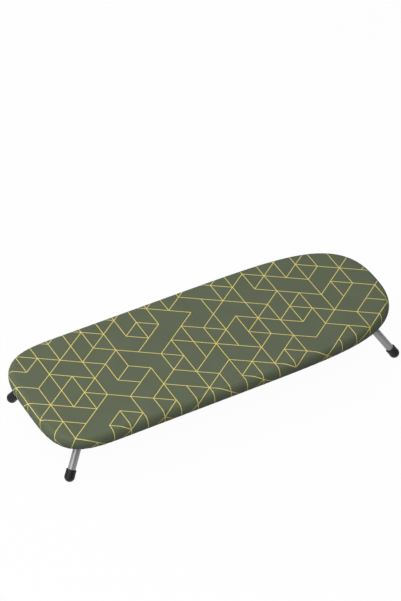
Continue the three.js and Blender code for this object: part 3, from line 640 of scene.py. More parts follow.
@dataclass(frozen=True)
class PrintedCotton:
    """Olive cotton canvas with a thin yellow line print.

    Plain weave: matt, with a soft sheen at low angles and a fine tooth that breaks up the
    light. The threads are drawn 1.1 mm apart, about twice the real spacing, so that they
    show. The print is a lattice of three line families, whose pieces are left out by two
    repeating counts, five and seven long.
    """

    name: str = "printed_cotton_canvas"
    ground: str = "616954"
    ground_worn: str = "5c644f"
    ink: str = "f0de7c"
    ink_crossing: str = "f2e070"
    step_mm: Pair = (37.0, 26.0)
    origin_mm: Pair = (-174.0, 54.0)
    line_mm: float = 1.45
    line_edge_mm: float = 0.2
    thread_mm: float = 1.1
    wander: float = 0.03
    thread_hold: float = 0.14
    thread_dark: float = 0.16
    shadow: str = "2f3527"

    def material(self) -> Material:
        """Builds the material on the cloth map, which holds metres on the flat cloth.

        The lattice's corners are at whole numbers u and v, where u = (s + t) / 2 and
        v = (s - t) / 2 with s and t the steps along X and Y. A line runs where u, v or s is
        whole. Its pieces are counted by the whole numbers along and across it.

        Returns:
            The material.
        """
        material, tree = blank_material(self.name)
        cloth = add(tree, "UVMap", uv_map=CLOTH_MAP)
        split = add(tree, "SeparateXYZ", cloth)
        waver = add(tree, "TexNoise", {"Vector": cloth, "Scale": 9.0, "Detail": 1.0})
        drift = (self.wander, -self.wander / 2)
        shift = add(tree, "Math", waver, *drift, operation="MULTIPLY_ADD")
        steps = []
        for out, origin, length in zip(split.outputs, self.origin_mm, self.step_mm):
            moved = add(tree, "Math", out, origin * MILLIMETRE, operation="SUBTRACT")
            count = add(tree, "Math", moved, length * MILLIMETRE, operation="DIVIDE")
            steps.append(add(tree, "Math", count, shift, operation="ADD"))
        u, v = (
            add(tree, "Math", add(tree, "Math", *steps, operation=way), 0.5, operation="MULTIPLY")
            for way in ("ADD", "SUBTRACT")
        )
        gap = 2 * math.prod(self.step_mm) / math.hypot(*self.step_mm)
        first = self.line(tree, v, u, gap, (1, 2, 3, 1), (0, 2))
        second = self.line(tree, u, v, gap, (2, 1, 1, 3), (3, 5))
        third = self.line(tree, steps[0], u, self.step_mm[0], (1, 3, 2, 5), (1, 4))
        both = add(tree, "Math", first, second, operation="ADD")
        total = add(tree, "Math", both, third, operation="ADD")
        inked = add(tree, "Math", total, 1.0, operation="MINIMUM")
        crossing = add(tree, "MapRange", {"Value": total, "From Min": 1.0, "From Max": 2.0})
        patches = add(tree, "TexNoise", {"Vector": cloth, "Scale": 14.0, "Detail": 4.0})
        worn = add(tree, "MapRange", {"Value": patches, "From Min": 0.3, "From Max": 0.7})
        weave = self.weave(tree, split)
        hold = (self.thread_hold, 1 - self.thread_hold)
        fade = add(tree, "Math", weave, *hold, operation="MULTIPLY_ADD")
        cover = add(tree, "Math", inked, fade, operation="MULTIPLY")
        # painted shade: between the threads the colour is mixed towards the shadow colour
        dark = (-self.thread_dark, self.thread_dark)
        dark = add(tree, "Math", weave, *dark, operation="MULTIPLY_ADD")
        tones = {"Factor": crossing, MIX_A: linear(self.ink), MIX_B: linear(self.ink_crossing)}
        ink = add(tree, "Mix", tones, data_type="RGBA").outputs[MIX_RESULT]
        ground = linear(self.ground)
        for factor, over in (
            (worn, linear(self.ground_worn)), (cover, ink), (dark, linear(self.shadow))
        ):
            layers = {"Factor": factor, MIX_A: ground, MIX_B: over}
            ground = add(tree, "Mix", layers, data_type="RGBA").outputs[MIX_RESULT]
        lift = add(tree, "Bump", {"Height": weave, "Strength": 0.22, "Distance": BUMP_DEPTH})
        look = {
            "Base Color": ground, "Roughness": 0.88, "IOR": 1.45, "Specular IOR Level": 0.25,
            "Sheen Weight": 0.12, "Sheen Roughness": 0.45, "Normal": lift,
        }
        add(tree, "OutputMaterial", add(tree, "BsdfPrincipled", look))
        return material

    def line(
        self, tree: Tree, across: Node, along: Node, gap_mm: float,
        weights: tuple[int, int, int, int], missing: tuple[int, int],
    ) -> Node:
        """One family of printed lines, with some pieces left out.

        Args:
            tree: The node tree.
            across: The coordinate that is whole on each line.
            along: The coordinate that grows by one from corner to corner.
            gap_mm: The distance between neighbouring lines.
            weights: Line and piece weights in the count by five and in the count by seven.
            missing: The remainders, by five and by seven, whose pieces are left out.

        Returns:
            A node that gives one on the ink and zero off it.
        """
        number = add(tree, "Math", across, operation="ROUND")
        part = add(tree, "Math", along, operation="FLOOR")
        off = add(tree, "Math", across, number, operation="SUBTRACT")
        off = add(tree, "Math", off, operation="ABSOLUTE")
        edge = {
            "Value": add(tree, "Math", off, gap_mm, operation="MULTIPLY"),
            "From Min": self.line_mm / 2 - self.line_edge_mm,
            "From Max": self.line_mm / 2 + self.line_edge_mm,
            "To Min": 1.0, "To Max": 0.0,
        }
        ink = add(tree, "MapRange", edge, interpolation_type="SMOOTHSTEP")
        # the quarter keeps the whole numbers off the places where the remainder jumps
        for line_weight, part_weight, modulus, gone in (
            (*weights[:2], 5.0, missing[0]), (*weights[2:], 7.0, missing[1])
        ):
            count = add(tree, "Math", part, part_weight, 0.25, operation="MULTIPLY_ADD")
            count = add(tree, "Math", number, line_weight, count, operation="MULTIPLY_ADD")
            rest = add(tree, "Math", count, modulus, operation="FLOORED_MODULO")
            out = add(tree, "Math", rest, gone + 0.25, 0.5, operation="COMPARE")
            shown = add(tree, "Math", 1.0, out, operation="SUBTRACT")
            ink = add(tree, "Math", ink, shown, operation="MULTIPLY")
        return ink

    def weave(self, tree: Tree, split: Node) -> Node:
        """Plain weave: the product of two sines, moved to lie between zero and one.

        Args:
            tree: The node tree.
            split: The node that gives the place on the cloth, X first.

        Returns:
            A node that gives one on top of a thread and zero between threads.
        """
        turn = math.pi / (self.thread_mm * MILLIMETRE)
        waves = []
        for out in split.outputs[:2]:
            angle = add(tree, "Math", out, turn, operation="MULTIPLY")
            waves.append(add(tree, "Math", angle, operation="SINE"))
        product = add(tree, "Math", *waves, operation="MULTIPLY")
        return add(tree, "Math", product, 0.5, 0.5, operation="MULTIPLY_ADD")


@dataclass(frozen=True)
class BraidedElastic:
    """Black elastic with a braided polyester sleeve.

    Matt, with slanting ribs whose tops are painted lighter, a painted highlight where they catch a
    little light. The ribs are 1.2 mm apart.
    """

    name: str = "braided_elastic_cord"
    colour: str = "17181a"
    # rib: the painted highlight colour on the rib tops
    rib: str = "2e3033"
    rib_mm: float = 1.2
    rib_depth_mm: float = 0.3

    def material(self) -> Material:
        """Builds the material: ribs where (length + turn) and (length - turn) repeat.

        Returns:
            The material.
        """
        material, tree = blank_material(self.name)
        split = add(tree, "SeparateXYZ", add(tree, "TexCoord").outputs["Object"])
        turn = 2 * math.pi / (self.rib_mm * MILLIMETRE)
        ribs = []
        for sign in (1.0, -1.0):
            slope = add(
                tree, "Math", split.outputs[1], sign, split.outputs[0], operation="MULTIPLY_ADD"
            )
            angle = add(tree, "Math", slope, turn, operation="MULTIPLY")
            ribs.append(add(tree, "Math", angle, operation="SINE"))
        braid = add(tree, "Math", *ribs, operation="MAXIMUM")
        share = add(tree, "Math", braid, 0.5, 0.5, operation="MULTIPLY_ADD")
        # painted highlight: the colour is mixed towards the lighter rib colour on the rib tops
        tones = {"Factor": share, MIX_A: linear(self.colour), MIX_B: linear(self.rib)}
        colour = add(tree, "Mix", tones, data_type="RGBA").outputs[MIX_RESULT]
        depth = self.rib_depth_mm * MILLIMETRE
        lift = add(tree, "Bump", {"Height": braid, "Strength": 0.4, "Distance": depth})
        look = {"Base Color": colour, "Roughness": 0.8, "Normal": lift}
        add(tree, "OutputMaterial", add(tree, "BsdfPrincipled", look))
        return material


# Polypropylene, injection moulded: satin, with a fine spark-eroded grain
LATTICE_PLASTIC = Finish("moulded_polypropylene_blue_grey", "92949f", "898b96", 0.46, grain_mm=0.9)
PLATE_PLASTIC = Finish("moulded_polypropylene_sage", "868d7c", "808776", 0.42, grain_mm=0.8)
TONGUE_PLASTIC = Finish(
    "moulded_polypropylene_pale_green", "979c8a", "909583", 0.45, grain_mm=0.8
)
LOCK_PLASTIC = Finish("moulded_nylon_olive", "6b7358", "646c52", 0.4, grain_mm=0.7)
# Glass-filled nylon: greyer and drier than the lattice, with a coarser grain
BRACKET_PLASTIC = Finish(
    "glass_filled_nylon_grey", "929398", "898a8f", 0.52, grain_mm=1.1, bump=0.1
)
# Silver powder coat on steel tube: a soft metallic glow under a thin clear skin
LEG_PAINT = Finish(
    "silver_powder_coat_on_steel", "a0a0a2", "98989a", 0.31, metallic=0.45, grain_mm=1.2,
    bump=0.05, coat=0.05,
)
# Moulded rubber caps, olive grey of their own, coloured near black here as painted shade, with a
# faint sheen on the rounded end
FOOT_RUBBER = Finish(
    "moulded_black_rubber", "0b0b0c", "101011", 0.45, ior=1.4, grain_mm=0.9, bump=0.12
)
# Zinc-plated steel: bright, with fine drawing lines
SCREW_STEEL = Finish(
    "zinc_plated_steel", "c3c5c8", "b5b7ba", 0.28, metallic=1.0, grain_mm=1.0,
    stretch=(1.0, 6.0, 6.0),
)
# Galvanised steel plate: dull grey, with the soft patches of its zinc
HINGE_STEEL = Finish(
    "galvanised_steel_plate", "85888b", "777a7e", 0.48, metallic=1.0, grain_mm=1.0, patch_mm=9.0
)
# Felt over foam, coloured near black so that the lattice windows show dark: fully matt, with a
# fuzzy tooth
FELTED_FOAM = Finish("felted_charcoal_foam", "37383d", "2e2f34", 0.95, grain_mm=1.4, bump=0.5)


# The board's outline and rim


@dataclass
class Outline:
    """One half's edge in plan, as in the frame: a superellipse at its tip, and straight sides.

    Between the corners |u| to the power p plus |v| to the power q is one. u and v are the
    shares of the reach along X and Y.
    """

    half: Half
    half_length: float = 400.0
    half_width: float = 150.0
    nose_taper: float = 607.0
    nose_powers: Pair = (7.35, 2.55)
    tail_corner: float = 153.0
    tail_power: float = 3.68
    samples: int = 12000
    fine_step: float = 0.8

    @property
    def way(self) -> int:
        """The sign of X on this half."""
        return self.half.value

    def quarter(self) -> tuple[Array, Array]:
        """The left edge from the tip to the fold line.

        Returns:
            Points and normals.
        """
        reach, powers = (
            (self.nose_taper, self.nose_powers) if self.half is Half.NOSE
            else (self.tail_corner, (self.tail_power, self.tail_power))
        )
        centre = self.way * (self.half_length - reach)
        angle = np.linspace(0, QUARTER, self.samples)
        u = np.cos(angle) ** (2 / powers[0])
        v = np.sin(angle) ** (2 / powers[1])
        points = stacked(centre + self.way * reach * u, self.half_width * v)
        normals = stacked(
            self.way * powers[0] * u ** (powers[0] - 1) / reach,
            powers[1] * v ** (powers[1] - 1) / self.half_width,
        )
        kept = points[:, 0] * self.way > 0
        return points[kept], unit(normals)[kept]

    def edge(self, near: float, step: float) -> tuple[Array, Array, Array]:
        """The edge at even steps, from its left fold corner to its right one.

        Args:
            near: Where the edge starts and ends, measured from the fold line.
            step: The distance between points.

        Returns:
            The points, the outward normals and the distance run along the edge.
        """
        points, normals = self.quarter()
        beyond = points[:, 0] * self.way > near
        points, normals = points[beyond], normals[beyond]
        left = np.array([[self.way * near, self.half_width]])
        points = np.concatenate([left, points[::-1]])
        normals = np.concatenate([[[0.0, 1.0]], normals[::-1]])
        mirror = np.array([1.0, -1.0])
        points = np.concatenate([points, (points * mirror)[::-1][1:]])
        normals = np.concatenate([normals, (normals * mirror)[::-1][1:]])
        run = run_along(points)
        even = np.linspace(0, run[-1], int(round(run[-1] / step)) + 1)
        spread = [np.interp(even, run, column) for column in (*points.T, *normals.T)]
        return np.stack(spread[:2], 1), unit(np.stack(spread[2:], 1)), even

    def loop(self, inset: float, near: float, step: float = 6.0) -> Loop:
        """The closed outline, drawn in all round and cut off at the fold.

        Args:
            inset: How far the edge is drawn in.
            near: How far from the fold line it ends.
            step: The distance between points.

        Returns:
            The loop, going round to the left.
        """
        points, normals, _ = self.edge(near, step)
        points = points - normals * inset
        points[[0, -1], 0] = self.way * near
        normals[[0, -1], 0] = -self.way
        return Loop(points[:: -self.way], normals[:: -self.way])

    def left_edge(self, inset: float) -> tuple[Array, Array]:
        """The left edge, drawn in.

        Args:
            inset: How far the edge is drawn in.

        Returns:
            Its distances from the fold line and from the middle line.
        """
        points, normals, _ = self.edge(0.0, self.fine_step)
        drawn = (points - normals * inset)[: len(points) // 2 + 1]
        return drawn[:, 0] * self.way, drawn[:, 1]

    def width_at(self, inset: float, x: float) -> float:
        """The half width at a distance from the fold line, with the edge drawn in."""
        return float(np.interp(x, *self.left_edge(inset)))

    def reach_at(self, inset: float, y: float) -> float:
        """The reach from the fold line at a distance from the middle line."""
        reach, width = self.left_edge(inset)
        return float(np.interp(y, width[::-1], reach[::-1]))


@dataclass
class Rim:
    """The half-elliptic rim of the padded top, and the hem below it."""

    top: float = 112.0
    bottom: float = 80.0
    overhang: float = 12.0

    @property
    def middle(self) -> float:
        """The height of the rim's widest place."""
        return (self.top + self.bottom) / 2

    @property
    def half_depth(self) -> float:
        """Half the height of the rim."""
        return (self.top - self.bottom) / 2

    def angle_at(self, height: float) -> float:
        """The section's angle at a height."""
        return math.asin((height - self.middle) / self.half_depth)

    def run_to(self, angle: float) -> float:
        """The length of the section from the top down to an angle."""
        return float(run_along(stacked(*self.section(np.linspace(QUARTER, angle, 200))))[-1])

    def section(self, angle: Array, inset: float = 0.0) -> tuple[Array, Array]:
        """How far in the rim is, and how high, at angles from straight up to straight down.

        It is half an ellipse: drawn in by overhang less (overhang - inset) * cos a, at the
        middle height plus (half the depth - inset) * sin a.

        Args:
            angle: Angles, from a quarter turn down to minus a quarter turn.
            inset: How far the whole rim is drawn in.

        Returns:
            The distance in from the edge, and the height.
        """
        drawn = self.overhang - (self.overhang - inset) * np.cos(angle)
        return drawn, self.middle + (self.half_depth - inset) * np.sin(angle)


# Cover and pad


@dataclass
class Cover:
    """The fabric cap on one half with its pad, and the strip that bridges the fold.

    Lengths are in millimetres, and a reach is a distance from the fold line.
    """

    outline: Outline
    cloth: Material
    foam: Material
    elastic: Material
    rim: Rim = field(default_factory=Rim)
    core: Triple = (150.0, 0.0, 94.0)
    spine_share: float = 0.66
    top_rows: int = 15
    swell_square: Quad = (0.16, 61.0, 0.7, 43.0)
    swell_slant: Triple = (0.1, 29.0, 37.0)
    fold_reach: float = 12.5
    pivot_height: float = 100.0
    nose_radius: float = 10.6
    nose_inset: float = 1.4
    nose_rows: int = 12
    nose_side: tuple[int, float, int] = (7, 0.6, 6)
    wall_reach: float = 0.5
    wall_bottom: float = 87.0
    wall_rows: int = 7
    wall_hem: float = 9.0
    corner_in: float = 15.4
    corner_lap: float = 1.0
    corner_middle: Triple = (0.5, 9.0, 0.2)
    corner_back: Pair = (40.0, 84.0)
    side_columns: int = 9
    end_columns: int = 81
    step: float = 2.0
    rim_rows: int = 24
    hem_rows: int = 7
    casing_rows: int = 6
    hem_least: float = 14.0
    hem_most: float = 24.0
    hem_tries: int = 21
    hem_blur: int = 20
    hem_ripple: float = 0.9
    hem_lift: float = 0.5
    tucks: Pair = (3.0, 6.5)
    casing_radius: float = 1.4
    casing_cut: float = 11.0
    fold_cut: float = 30.0
    gather_height: float = 1.15
    gather_start: float = 0.25
    gather_waves: tuple[tuple[float, ...], ...] = (
        (0.62, 17.3, 1.9, 91.0, 0.0), (0.38, 11.1, 2.3, 67.0, 1.0)
    )
    gather_least: float = 0.3
    gather_turn: float = 2.2
    gather_power: float = 1.4
    gather_casing: Pair = (0.9, 0.5)
    gather_tucks: Pair = (0.3, 0.0)
    strip_half: float = 12.42
    strip_counts: tuple[int, int, int] = (10, 41, 27)
    strip_start: float = 0.3
    strip_dip: float = 0.12
    strip_dip_reach: float = 2.2
    strip_thickness: float = 0.8
    pad_inset: float = 1.7
    pad_gap: float = 1.5
    pad_step: float = 4.0
    pad_counts: tuple[int, int, int] = (14, 6, 9)
    pad_middle: float = 108.0
    pad_bottom: float = 87.5
    pad_lip: Pair = (1.8, 0.7)
    pad_inside: Pairs = ((9.0, 105.6), (14.0, 105.6))
    pad_wall: Triple = (0.1, 90.0, 104.5)
    rail_reach: dict[Half, float] = field(
        default_factory=lambda: {Half.TAIL: 95.0, Half.NOSE: 112.0}
    )
    rail_width: float = 136.6
    fittings: tuple[Triple, ...] = ((243.0, 267.0, 120.0), (110.0, 337.0, 104.0))
    folded_knee: Pair = (330.0, 94.0)
    folded_foot: Pair = (371.5, 19.5)
    leg_clearance: float = 10.8

    def build(self) -> None:
        """Builds the half's cover and pad, and dresses its hem elastic."""
        half = self.outline.half
        cover = piece(
            f"cover_cloth_{half.tag}", self.half_surface(), self.cloth, half.body,
            "cover_fabric", [f"cover_{half.tag}"], sharp=CLOTH_SHARP_ANGLE,
        )
        pad = piece(
            f"pad_felt_{half.tag}", self.pad_surface(), self.foam, half.body, "pad_foam",
            [f"pad_{half.tag}"],
        )
        dress(bpy.data.objects[f"hem_elastic_{half.tag}"], self.elastic)

    def build_strip(self) -> None:
        """Builds the strip over the fold, which moves with the hinge links."""
        crease = piece(
            "cover_cloth_crease", self.crease_surface(), self.cloth, "hinge_links",
            "cover_fabric", ["cover_crease"], sharp=CLOTH_SHARP_ANGLE,
        )
        lining = crease.modifiers.new("cloth_thickness", "SOLIDIFY")
        lining.thickness = self.strip_thickness * MILLIMETRE
        lining.offset = -1.0
        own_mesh(crease)

    def swell(self, x: Array, y: Array) -> Array:
        """How far the padded top stands up or down: two slow waves, a quarter millimetre.

        Args:
            x: Distances along the board.
            y: Distances across it.

        Returns:
            The heights.
        """
        tall, length, lead, width = self.swell_square
        low, along, across = self.swell_slant
        slant = low * np.sin(x / along + y / across)
        return tall * np.sin(x / length + lead) * np.cos(y / width) + slant

    def gathers(self, run: Array, normals: Array) -> tuple[Array, Array]:
        """The folds that the elastic draws into the hem.

        Each wave has a share of the height, a length, and a phase that wanders by so much
        over another length. The folds are high where the edge turns.

        Args:
            run: The distance run along the edge.
            normals: The outward normals of the edge.

        Returns:
            The folds from minus one to one, and their strength from zero to one.
        """
        turn = 2 * math.pi * run
        fold = sum(
            share * np.sin(turn / length + wander * np.sin(turn / slow + phase))
            for share, length, wander, slow, phase in self.gather_waves
        )
        turning = np.clip(np.abs(normals[:, 0]) * self.gather_turn, 0, 1)
        return fold, self.gather_least + (1 - self.gather_least) * turning

    def hem_reach(self, points: Array, normals: Array) -> Array:
        """How far the hem turns in, as much as the rails, brackets and leg tubes leave free.

        A folded leg lies over the line from its knee to where its foot comes to rest. The
        hem stays clear of that line by the foot's radius.

        Args:
            points: The edge.
            normals: Its outward normals.

        Returns:
            A distance for each point of the edge.
        """
        tries = np.linspace(self.hem_least, self.hem_most, self.hem_tries)
        inner = points[:, None] - normals[:, None] * tries[None, :, None]
        x, y = inner[..., 0] * self.outline.way, np.abs(inner[..., 1])
        rail = (0.0, self.rail_reach[self.outline.half], self.rail_width)
        knee, way = np.array(self.folded_knee), np.subtract(self.folded_foot, self.folded_knee)
        place = stacked(x, y) - knee
        share = np.clip(place @ way / (way @ way), 0, 1)
        taken = np.linalg.norm(place - share[..., None] * way, axis=-1) < self.leg_clearance
        for near, far, width in (rail, *self.fittings):
            taken |= (x > near) & (x < far) & (y < width)
        free = np.cumprod(~taken, axis=1).astype(bool)
        most = np.where(free, tries[None], self.hem_least).max(axis=1)
        window = 2 * self.hem_blur + 1
        ends = np.pad(most, self.hem_blur, "edge")
        return np.minimum(most, np.convolve(ends, np.ones(window) / window, "valid"))

    def skin_rows(
        self, points: Array, normals: Array, run: Array, first_angle: float
    ) -> tuple[Array, Array]:
        """The rim and the hem as rows of points below each point of the edge.

        The edge is drawn in along its normal by the rim's section. The hem then runs
        inwards, turns up round the elastic and back. The gathers push the lower rim and the
        hem out. The flat place is the rim's start, moved out by the run down the section.

        Args:
            points: The edge.
            normals: Its outward normals.
            run: The distance run along the edge.
            first_angle: The rim angle of the first row.

        Returns:
            The points, rows by columns by 3, and their flat places, rows by columns by 2.
        """
        fold, strength = self.gathers(run, normals)
        low, roll = self.rim.bottom, self.casing_radius
        reach = self.hem_reach(points, normals) + self.hem_ripple * fold * strength
        angle = np.linspace(first_angle, -QUARTER, self.rim_rows)
        inward = np.linspace(0, 1, self.hem_rows + 1)[1:, None]
        turn = np.linspace(-QUARTER, QUARTER, self.casing_rows + 1)[1:, None]
        hem_in = self.rim.overhang + (reach - self.rim.overhang) * inward
        bands = (
            self.rim.section(angle[:, None]),
            (hem_in, low + self.hem_lift * np.sin(math.pi * inward) * strength),
            (reach + roll * np.cos(turn), low + roll * (1 + np.sin(turn))),
            (reach - np.array(self.tucks)[:, None], low + 2 * roll),
        )
        whole = [np.broadcast_arrays(*band, fold)[:2] for band in bands]
        inset, tall = (np.concatenate(rows) for rows in zip(*whole, strict=True))
        rise = (-angle - self.gather_start) / (QUARTER - self.gather_start)
        casing = np.linspace(*self.gather_casing, self.casing_rows)
        held = [np.ones(self.hem_rows), casing, self.gather_tucks]
        weight = np.concatenate([np.clip(rise, 0, 1) ** self.gather_power, *held])[:, None]
        push = self.gather_height * weight * (fold * strength)
        below = np.zeros(len(weight) - len(angle))
        out_share = np.concatenate([np.cos(angle), below])[:, None]
        down_share = np.concatenate([-np.sin(angle), below + 1])[:, None]
        inset = inset - push * np.clip(out_share, 0, 1)
        tall = tall - push * np.clip(down_share, 0, 1)
        plan = points - normals * inset[..., None]
        steps = np.hypot(np.diff(inset, axis=0), np.diff(tall, axis=0))
        down = np.pad(np.cumsum(steps, axis=0), [(1, 0), (0, 0)]) + self.rim.run_to(first_angle)
        flat = points - normals * self.rim.overhang + normals * down[..., None]
        return np.concatenate([plan, tall[..., None]], axis=2), flat

    def half_surface(self) -> Surface:
        """The cap: top, rim, hem and the end that lies in the fold.

        The top runs straight from a spine on the middle line to the edge: spine + share *
        (edge - spine). The spine has two thirds of the edge's reach.

        Returns:
            The surface.
        """
        points, normals, run = self.outline.edge(self.fold_reach, self.step)
        made, flat = self.skin_rows(points, normals, run, QUARTER)
        top = self.spread(made[0], self.fold_reach, self.top_rows)
        rows = np.concatenate([top[:-1], made])
        on_top = rows[..., 2] > self.rim.top - 0.1
        rows[..., 2] += self.swell(rows[..., 0], rows[..., 1]) * on_top
        cap = grid(rows, np.concatenate([top[:-1, :, :2], flat]))
        core = (self.outline.way * self.core[0], *self.core[1:])
        parts = [merged(cap.outward(core))]
        for hand in Hand:
            sides = (self.lower_side(hand), self.upper_side(hand))
            parts += [*(side.outward(core) for side in sides), self.corner(hand)]
        return joined([*parts, self.fold_end().outward(core)])

    def spread(self, row: Array, near: float, count: int) -> Array:
        """Rows of points from a spine on the middle line out to an edge.

        Args:
            row: The edge's points.
            near: The spine's end at the fold.
            count: The number of rows.

        Returns:
            Rows by columns by 3.
        """
        start = self.outline.way * near
        spine = row.copy()
        spine[:, 0] = start + (row[:, 0] - start) * self.spine_share
        spine[:, 1] = 0.0
        return spine + (row - spine) * np.linspace(0, 1, count)[:, None, None]

    def lower_side(self, hand: Hand) -> Surface:
        """The lower rim beside the fold, between the cap and the half's end wall.

        Args:
            hand: Which side.

        Returns:
            The surface, whose rows have a fixed number of points.
        """
        x = self.outline.way * np.linspace(self.wall_reach, self.fold_reach, self.side_columns)
        points = stacked(x, hand.value * self.outline.half_width)
        normals = np.tile([0.0, float(hand.value)], (len(x), 1))
        total = self.outline.edge(self.fold_reach, self.step)[2][-1]
        distance = np.abs(x) - self.fold_reach
        run = distance if hand is Hand.LEFT else total - distance
        angle = self.rim.angle_at(self.pivot_height)
        return grid(*self.skin_rows(points, normals, run, angle))

    def corner(self, hand: Hand) -> Surface:
        """The folded-in corner of the cover below the end wall, where the hem turns in.

        It is a shallow fan. Its middle lies a little inside the wall's lower edge, and its
        rim is the side's section from that edge down round the hem, and back up to it.

        Args:
            hand: Which side.

        Returns:
            The surface, facing the other half.
        """
        side = self.lower_side(hand)
        points, flat = side.points[:: self.side_columns], side.flat[:: self.side_columns]
        below = points[:, 2] < self.wall_bottom + self.corner_lap
        below[-len(self.tucks) :] = False
        wall, width = self.outline.way * self.wall_reach, self.outline.half_width
        last = (wall, hand.value * (width - self.corner_in), self.wall_bottom)
        along, inward, up = self.corner_middle
        middle = hand.value * (width - inward)
        centre = (wall + self.outline.way * along, middle, self.wall_bottom + up)
        points = np.concatenate([[centre], points[below], [last]])
        flat = np.concatenate([[centre[:2]], flat[below], flat[below][-1:]])
        fan = [(0, k, k + 1) for k in range(1, len(points) - 1)]
        back, height = self.corner_back
        return Surface(points, fan, flat).outward((self.outline.way * back, middle, height))

    def upper_side(self, hand: Hand) -> Surface:
        """The side of the round nose at the fold, which shows when the board is shut.

        Its points run from the nose's curve to the cap at the rim's width for each height.
        The rim is drawn in by the nose's inset, which fades out just before the cap.

        Args:
            hand: Which side.

        Returns:
            The surface.
        """
        turn = np.append(np.linspace(QUARTER, 0, self.nose_rows), 0.0)[:, None]
        columns, power, fade = self.nose_side
        share = np.linspace(0, 1, columns)[None] ** power
        nose_x = self.fold_reach - self.nose_radius * np.cos(turn)
        nose_x[-1] = self.wall_reach
        x = nose_x + (self.fold_reach - nose_x) * share
        z = np.broadcast_to(self.pivot_height + self.nose_radius * np.sin(turn), x.shape)
        drawn = np.repeat(self.nose_inset * (1 - share**fade), len(turn), axis=0)
        drawn[-1] = 0.0
        y = self.rim_width(z, drawn)
        flat = stacked(self.outline.way * x, hand.value * (y + z - self.pivot_height))
        return grid(stacked(self.outline.way * x, hand.value * y, z), flat)

    def rim_width(self, height: Array, inset: Array) -> Array:
        """The half width of the rim at a height, where the rim is drawn in by an inset.

        Args:
            height: Heights.
            inset: How far the rim is drawn in at each of them.

        Returns:
            The half widths.
        """
        level = np.clip((height - self.rim.middle) / (self.rim.half_depth - inset), -1, 1)
        reach = self.rim.overhang - inset
        return self.outline.half_width - self.rim.overhang + reach * np.sqrt(1 - level**2)

    def fold_end(self) -> Surface:
        """The cap's end at the fold, a round nose above the pivot and a wall below it.

        The section is carried across the board, and its width at each height is the rim's.

        Returns:
            The surface.
        """
        turn = np.linspace(QUARTER, 0, self.nose_rows)
        nose_x = self.fold_reach - self.nose_radius * np.cos(turn)
        nose_z = self.pivot_height + self.nose_radius * np.sin(turn)
        wall_x = np.full(self.wall_rows, self.wall_reach)
        wall_z = np.linspace(self.pivot_height, self.wall_bottom, self.wall_rows)
        x = np.concatenate([[self.fold_reach], nose_x, wall_x, [self.wall_hem]])
        z = np.concatenate([[self.rim.top], nose_z, wall_z, wall_z[-1:]])
        drawn = np.pad(np.full(len(turn), self.nose_inset), (1, self.wall_rows + 1))
        y = self.rim_width(z, drawn)[:, None] * np.linspace(-1, 1, self.end_columns)
        run = run_along(stacked(x, z))
        flat = stacked((self.outline.way * (self.fold_reach - run))[:, None], y)
        return grid(stacked((self.outline.way * x)[:, None], y, z[:, None]), flat)

    def crease_surface(self) -> Surface:
        """The strip over the fold: the rim's upper section and the top, carried along X.

        Returns:
            The surface.
        """
        rim_rows, top_rows, columns = self.strip_counts
        start = self.rim.angle_at(self.pivot_height + self.strip_start)
        drawn, height = self.rim.section(np.linspace(start, QUARTER, rim_rows))
        side = self.outline.half_width - drawn
        top = np.linspace(side[-1], -side[-1], top_rows)[1:-1]
        y = np.concatenate([side, top, -side[::-1]])
        z = np.concatenate([height, np.full_like(top, self.rim.top), height[::-1]])
        run = run_along(stacked(y, z))
        x = np.linspace(-self.strip_half, self.strip_half, columns)
        rows = stacked(x[None], y[:, None], z[:, None])
        dip = self.strip_dip * np.exp(-((x / self.strip_dip_reach) ** 2))
        on_top = (z > self.rim.top - 0.1)[:, None]
        rows[..., 2] += on_top * (self.swell(rows[..., 0], rows[..., 1]) - dip)
        flat = stacked(x[None], (run[-1] / 2 - run)[:, None])
        return grid(rows, flat).outward((0.0, 0.0, self.rim.bottom))

    def pad_surface(self) -> Surface:
        """The pad: one skin over the top, down inside the cover's rim and back up.

        The section follows the rim, drawn in by the pad's inset, turns round a small lip at
        its lower edge and comes back up inside. Top and underside close on the middle line.

        Returns:
            The surface.
        """
        rim_rows, lip_rows, top_rows = self.pad_counts
        near = self.fold_reach + self.pad_gap
        points, normals, _ = self.outline.edge(near, self.pad_step)
        angle = np.linspace(QUARTER, self.rim.angle_at(self.pad_bottom), rim_rows)
        drawn, height = self.rim.section(angle, self.pad_inset)
        width, depth = self.pad_lip
        turn = np.linspace(0, math.pi, lip_rows)[1:]
        lip = stacked(drawn[-1] + width - width * np.cos(turn), height[-1] - depth * np.sin(turn))
        lean, low, high = self.pad_wall
        inside = [(lip[-1, 0], low), (lip[-1, 0] + lean, high), *self.pad_inside]
        drawn, height = np.concatenate([stacked(drawn, height), lip, inside]).T[..., None]
        plan = points - normals * drawn[..., None]
        wall = stacked(plan[..., 0], plan[..., 1], height)
        top, under = (self.spread(row, near, top_rows)[:-1] for row in (wall[0], wall[-1]))
        skin = merged(grid(np.concatenate([top, wall, under[::-1]])))
        return skin.outward((self.outline.way * self.core[0], 0.0, self.pad_middle))


def dress(node: bpy.types.Object, material: Material) -> None:
    """Gives a node of the frame a finish."""
    node.data.materials.clear()
    node.data.materials.append(material)


# Lattice board


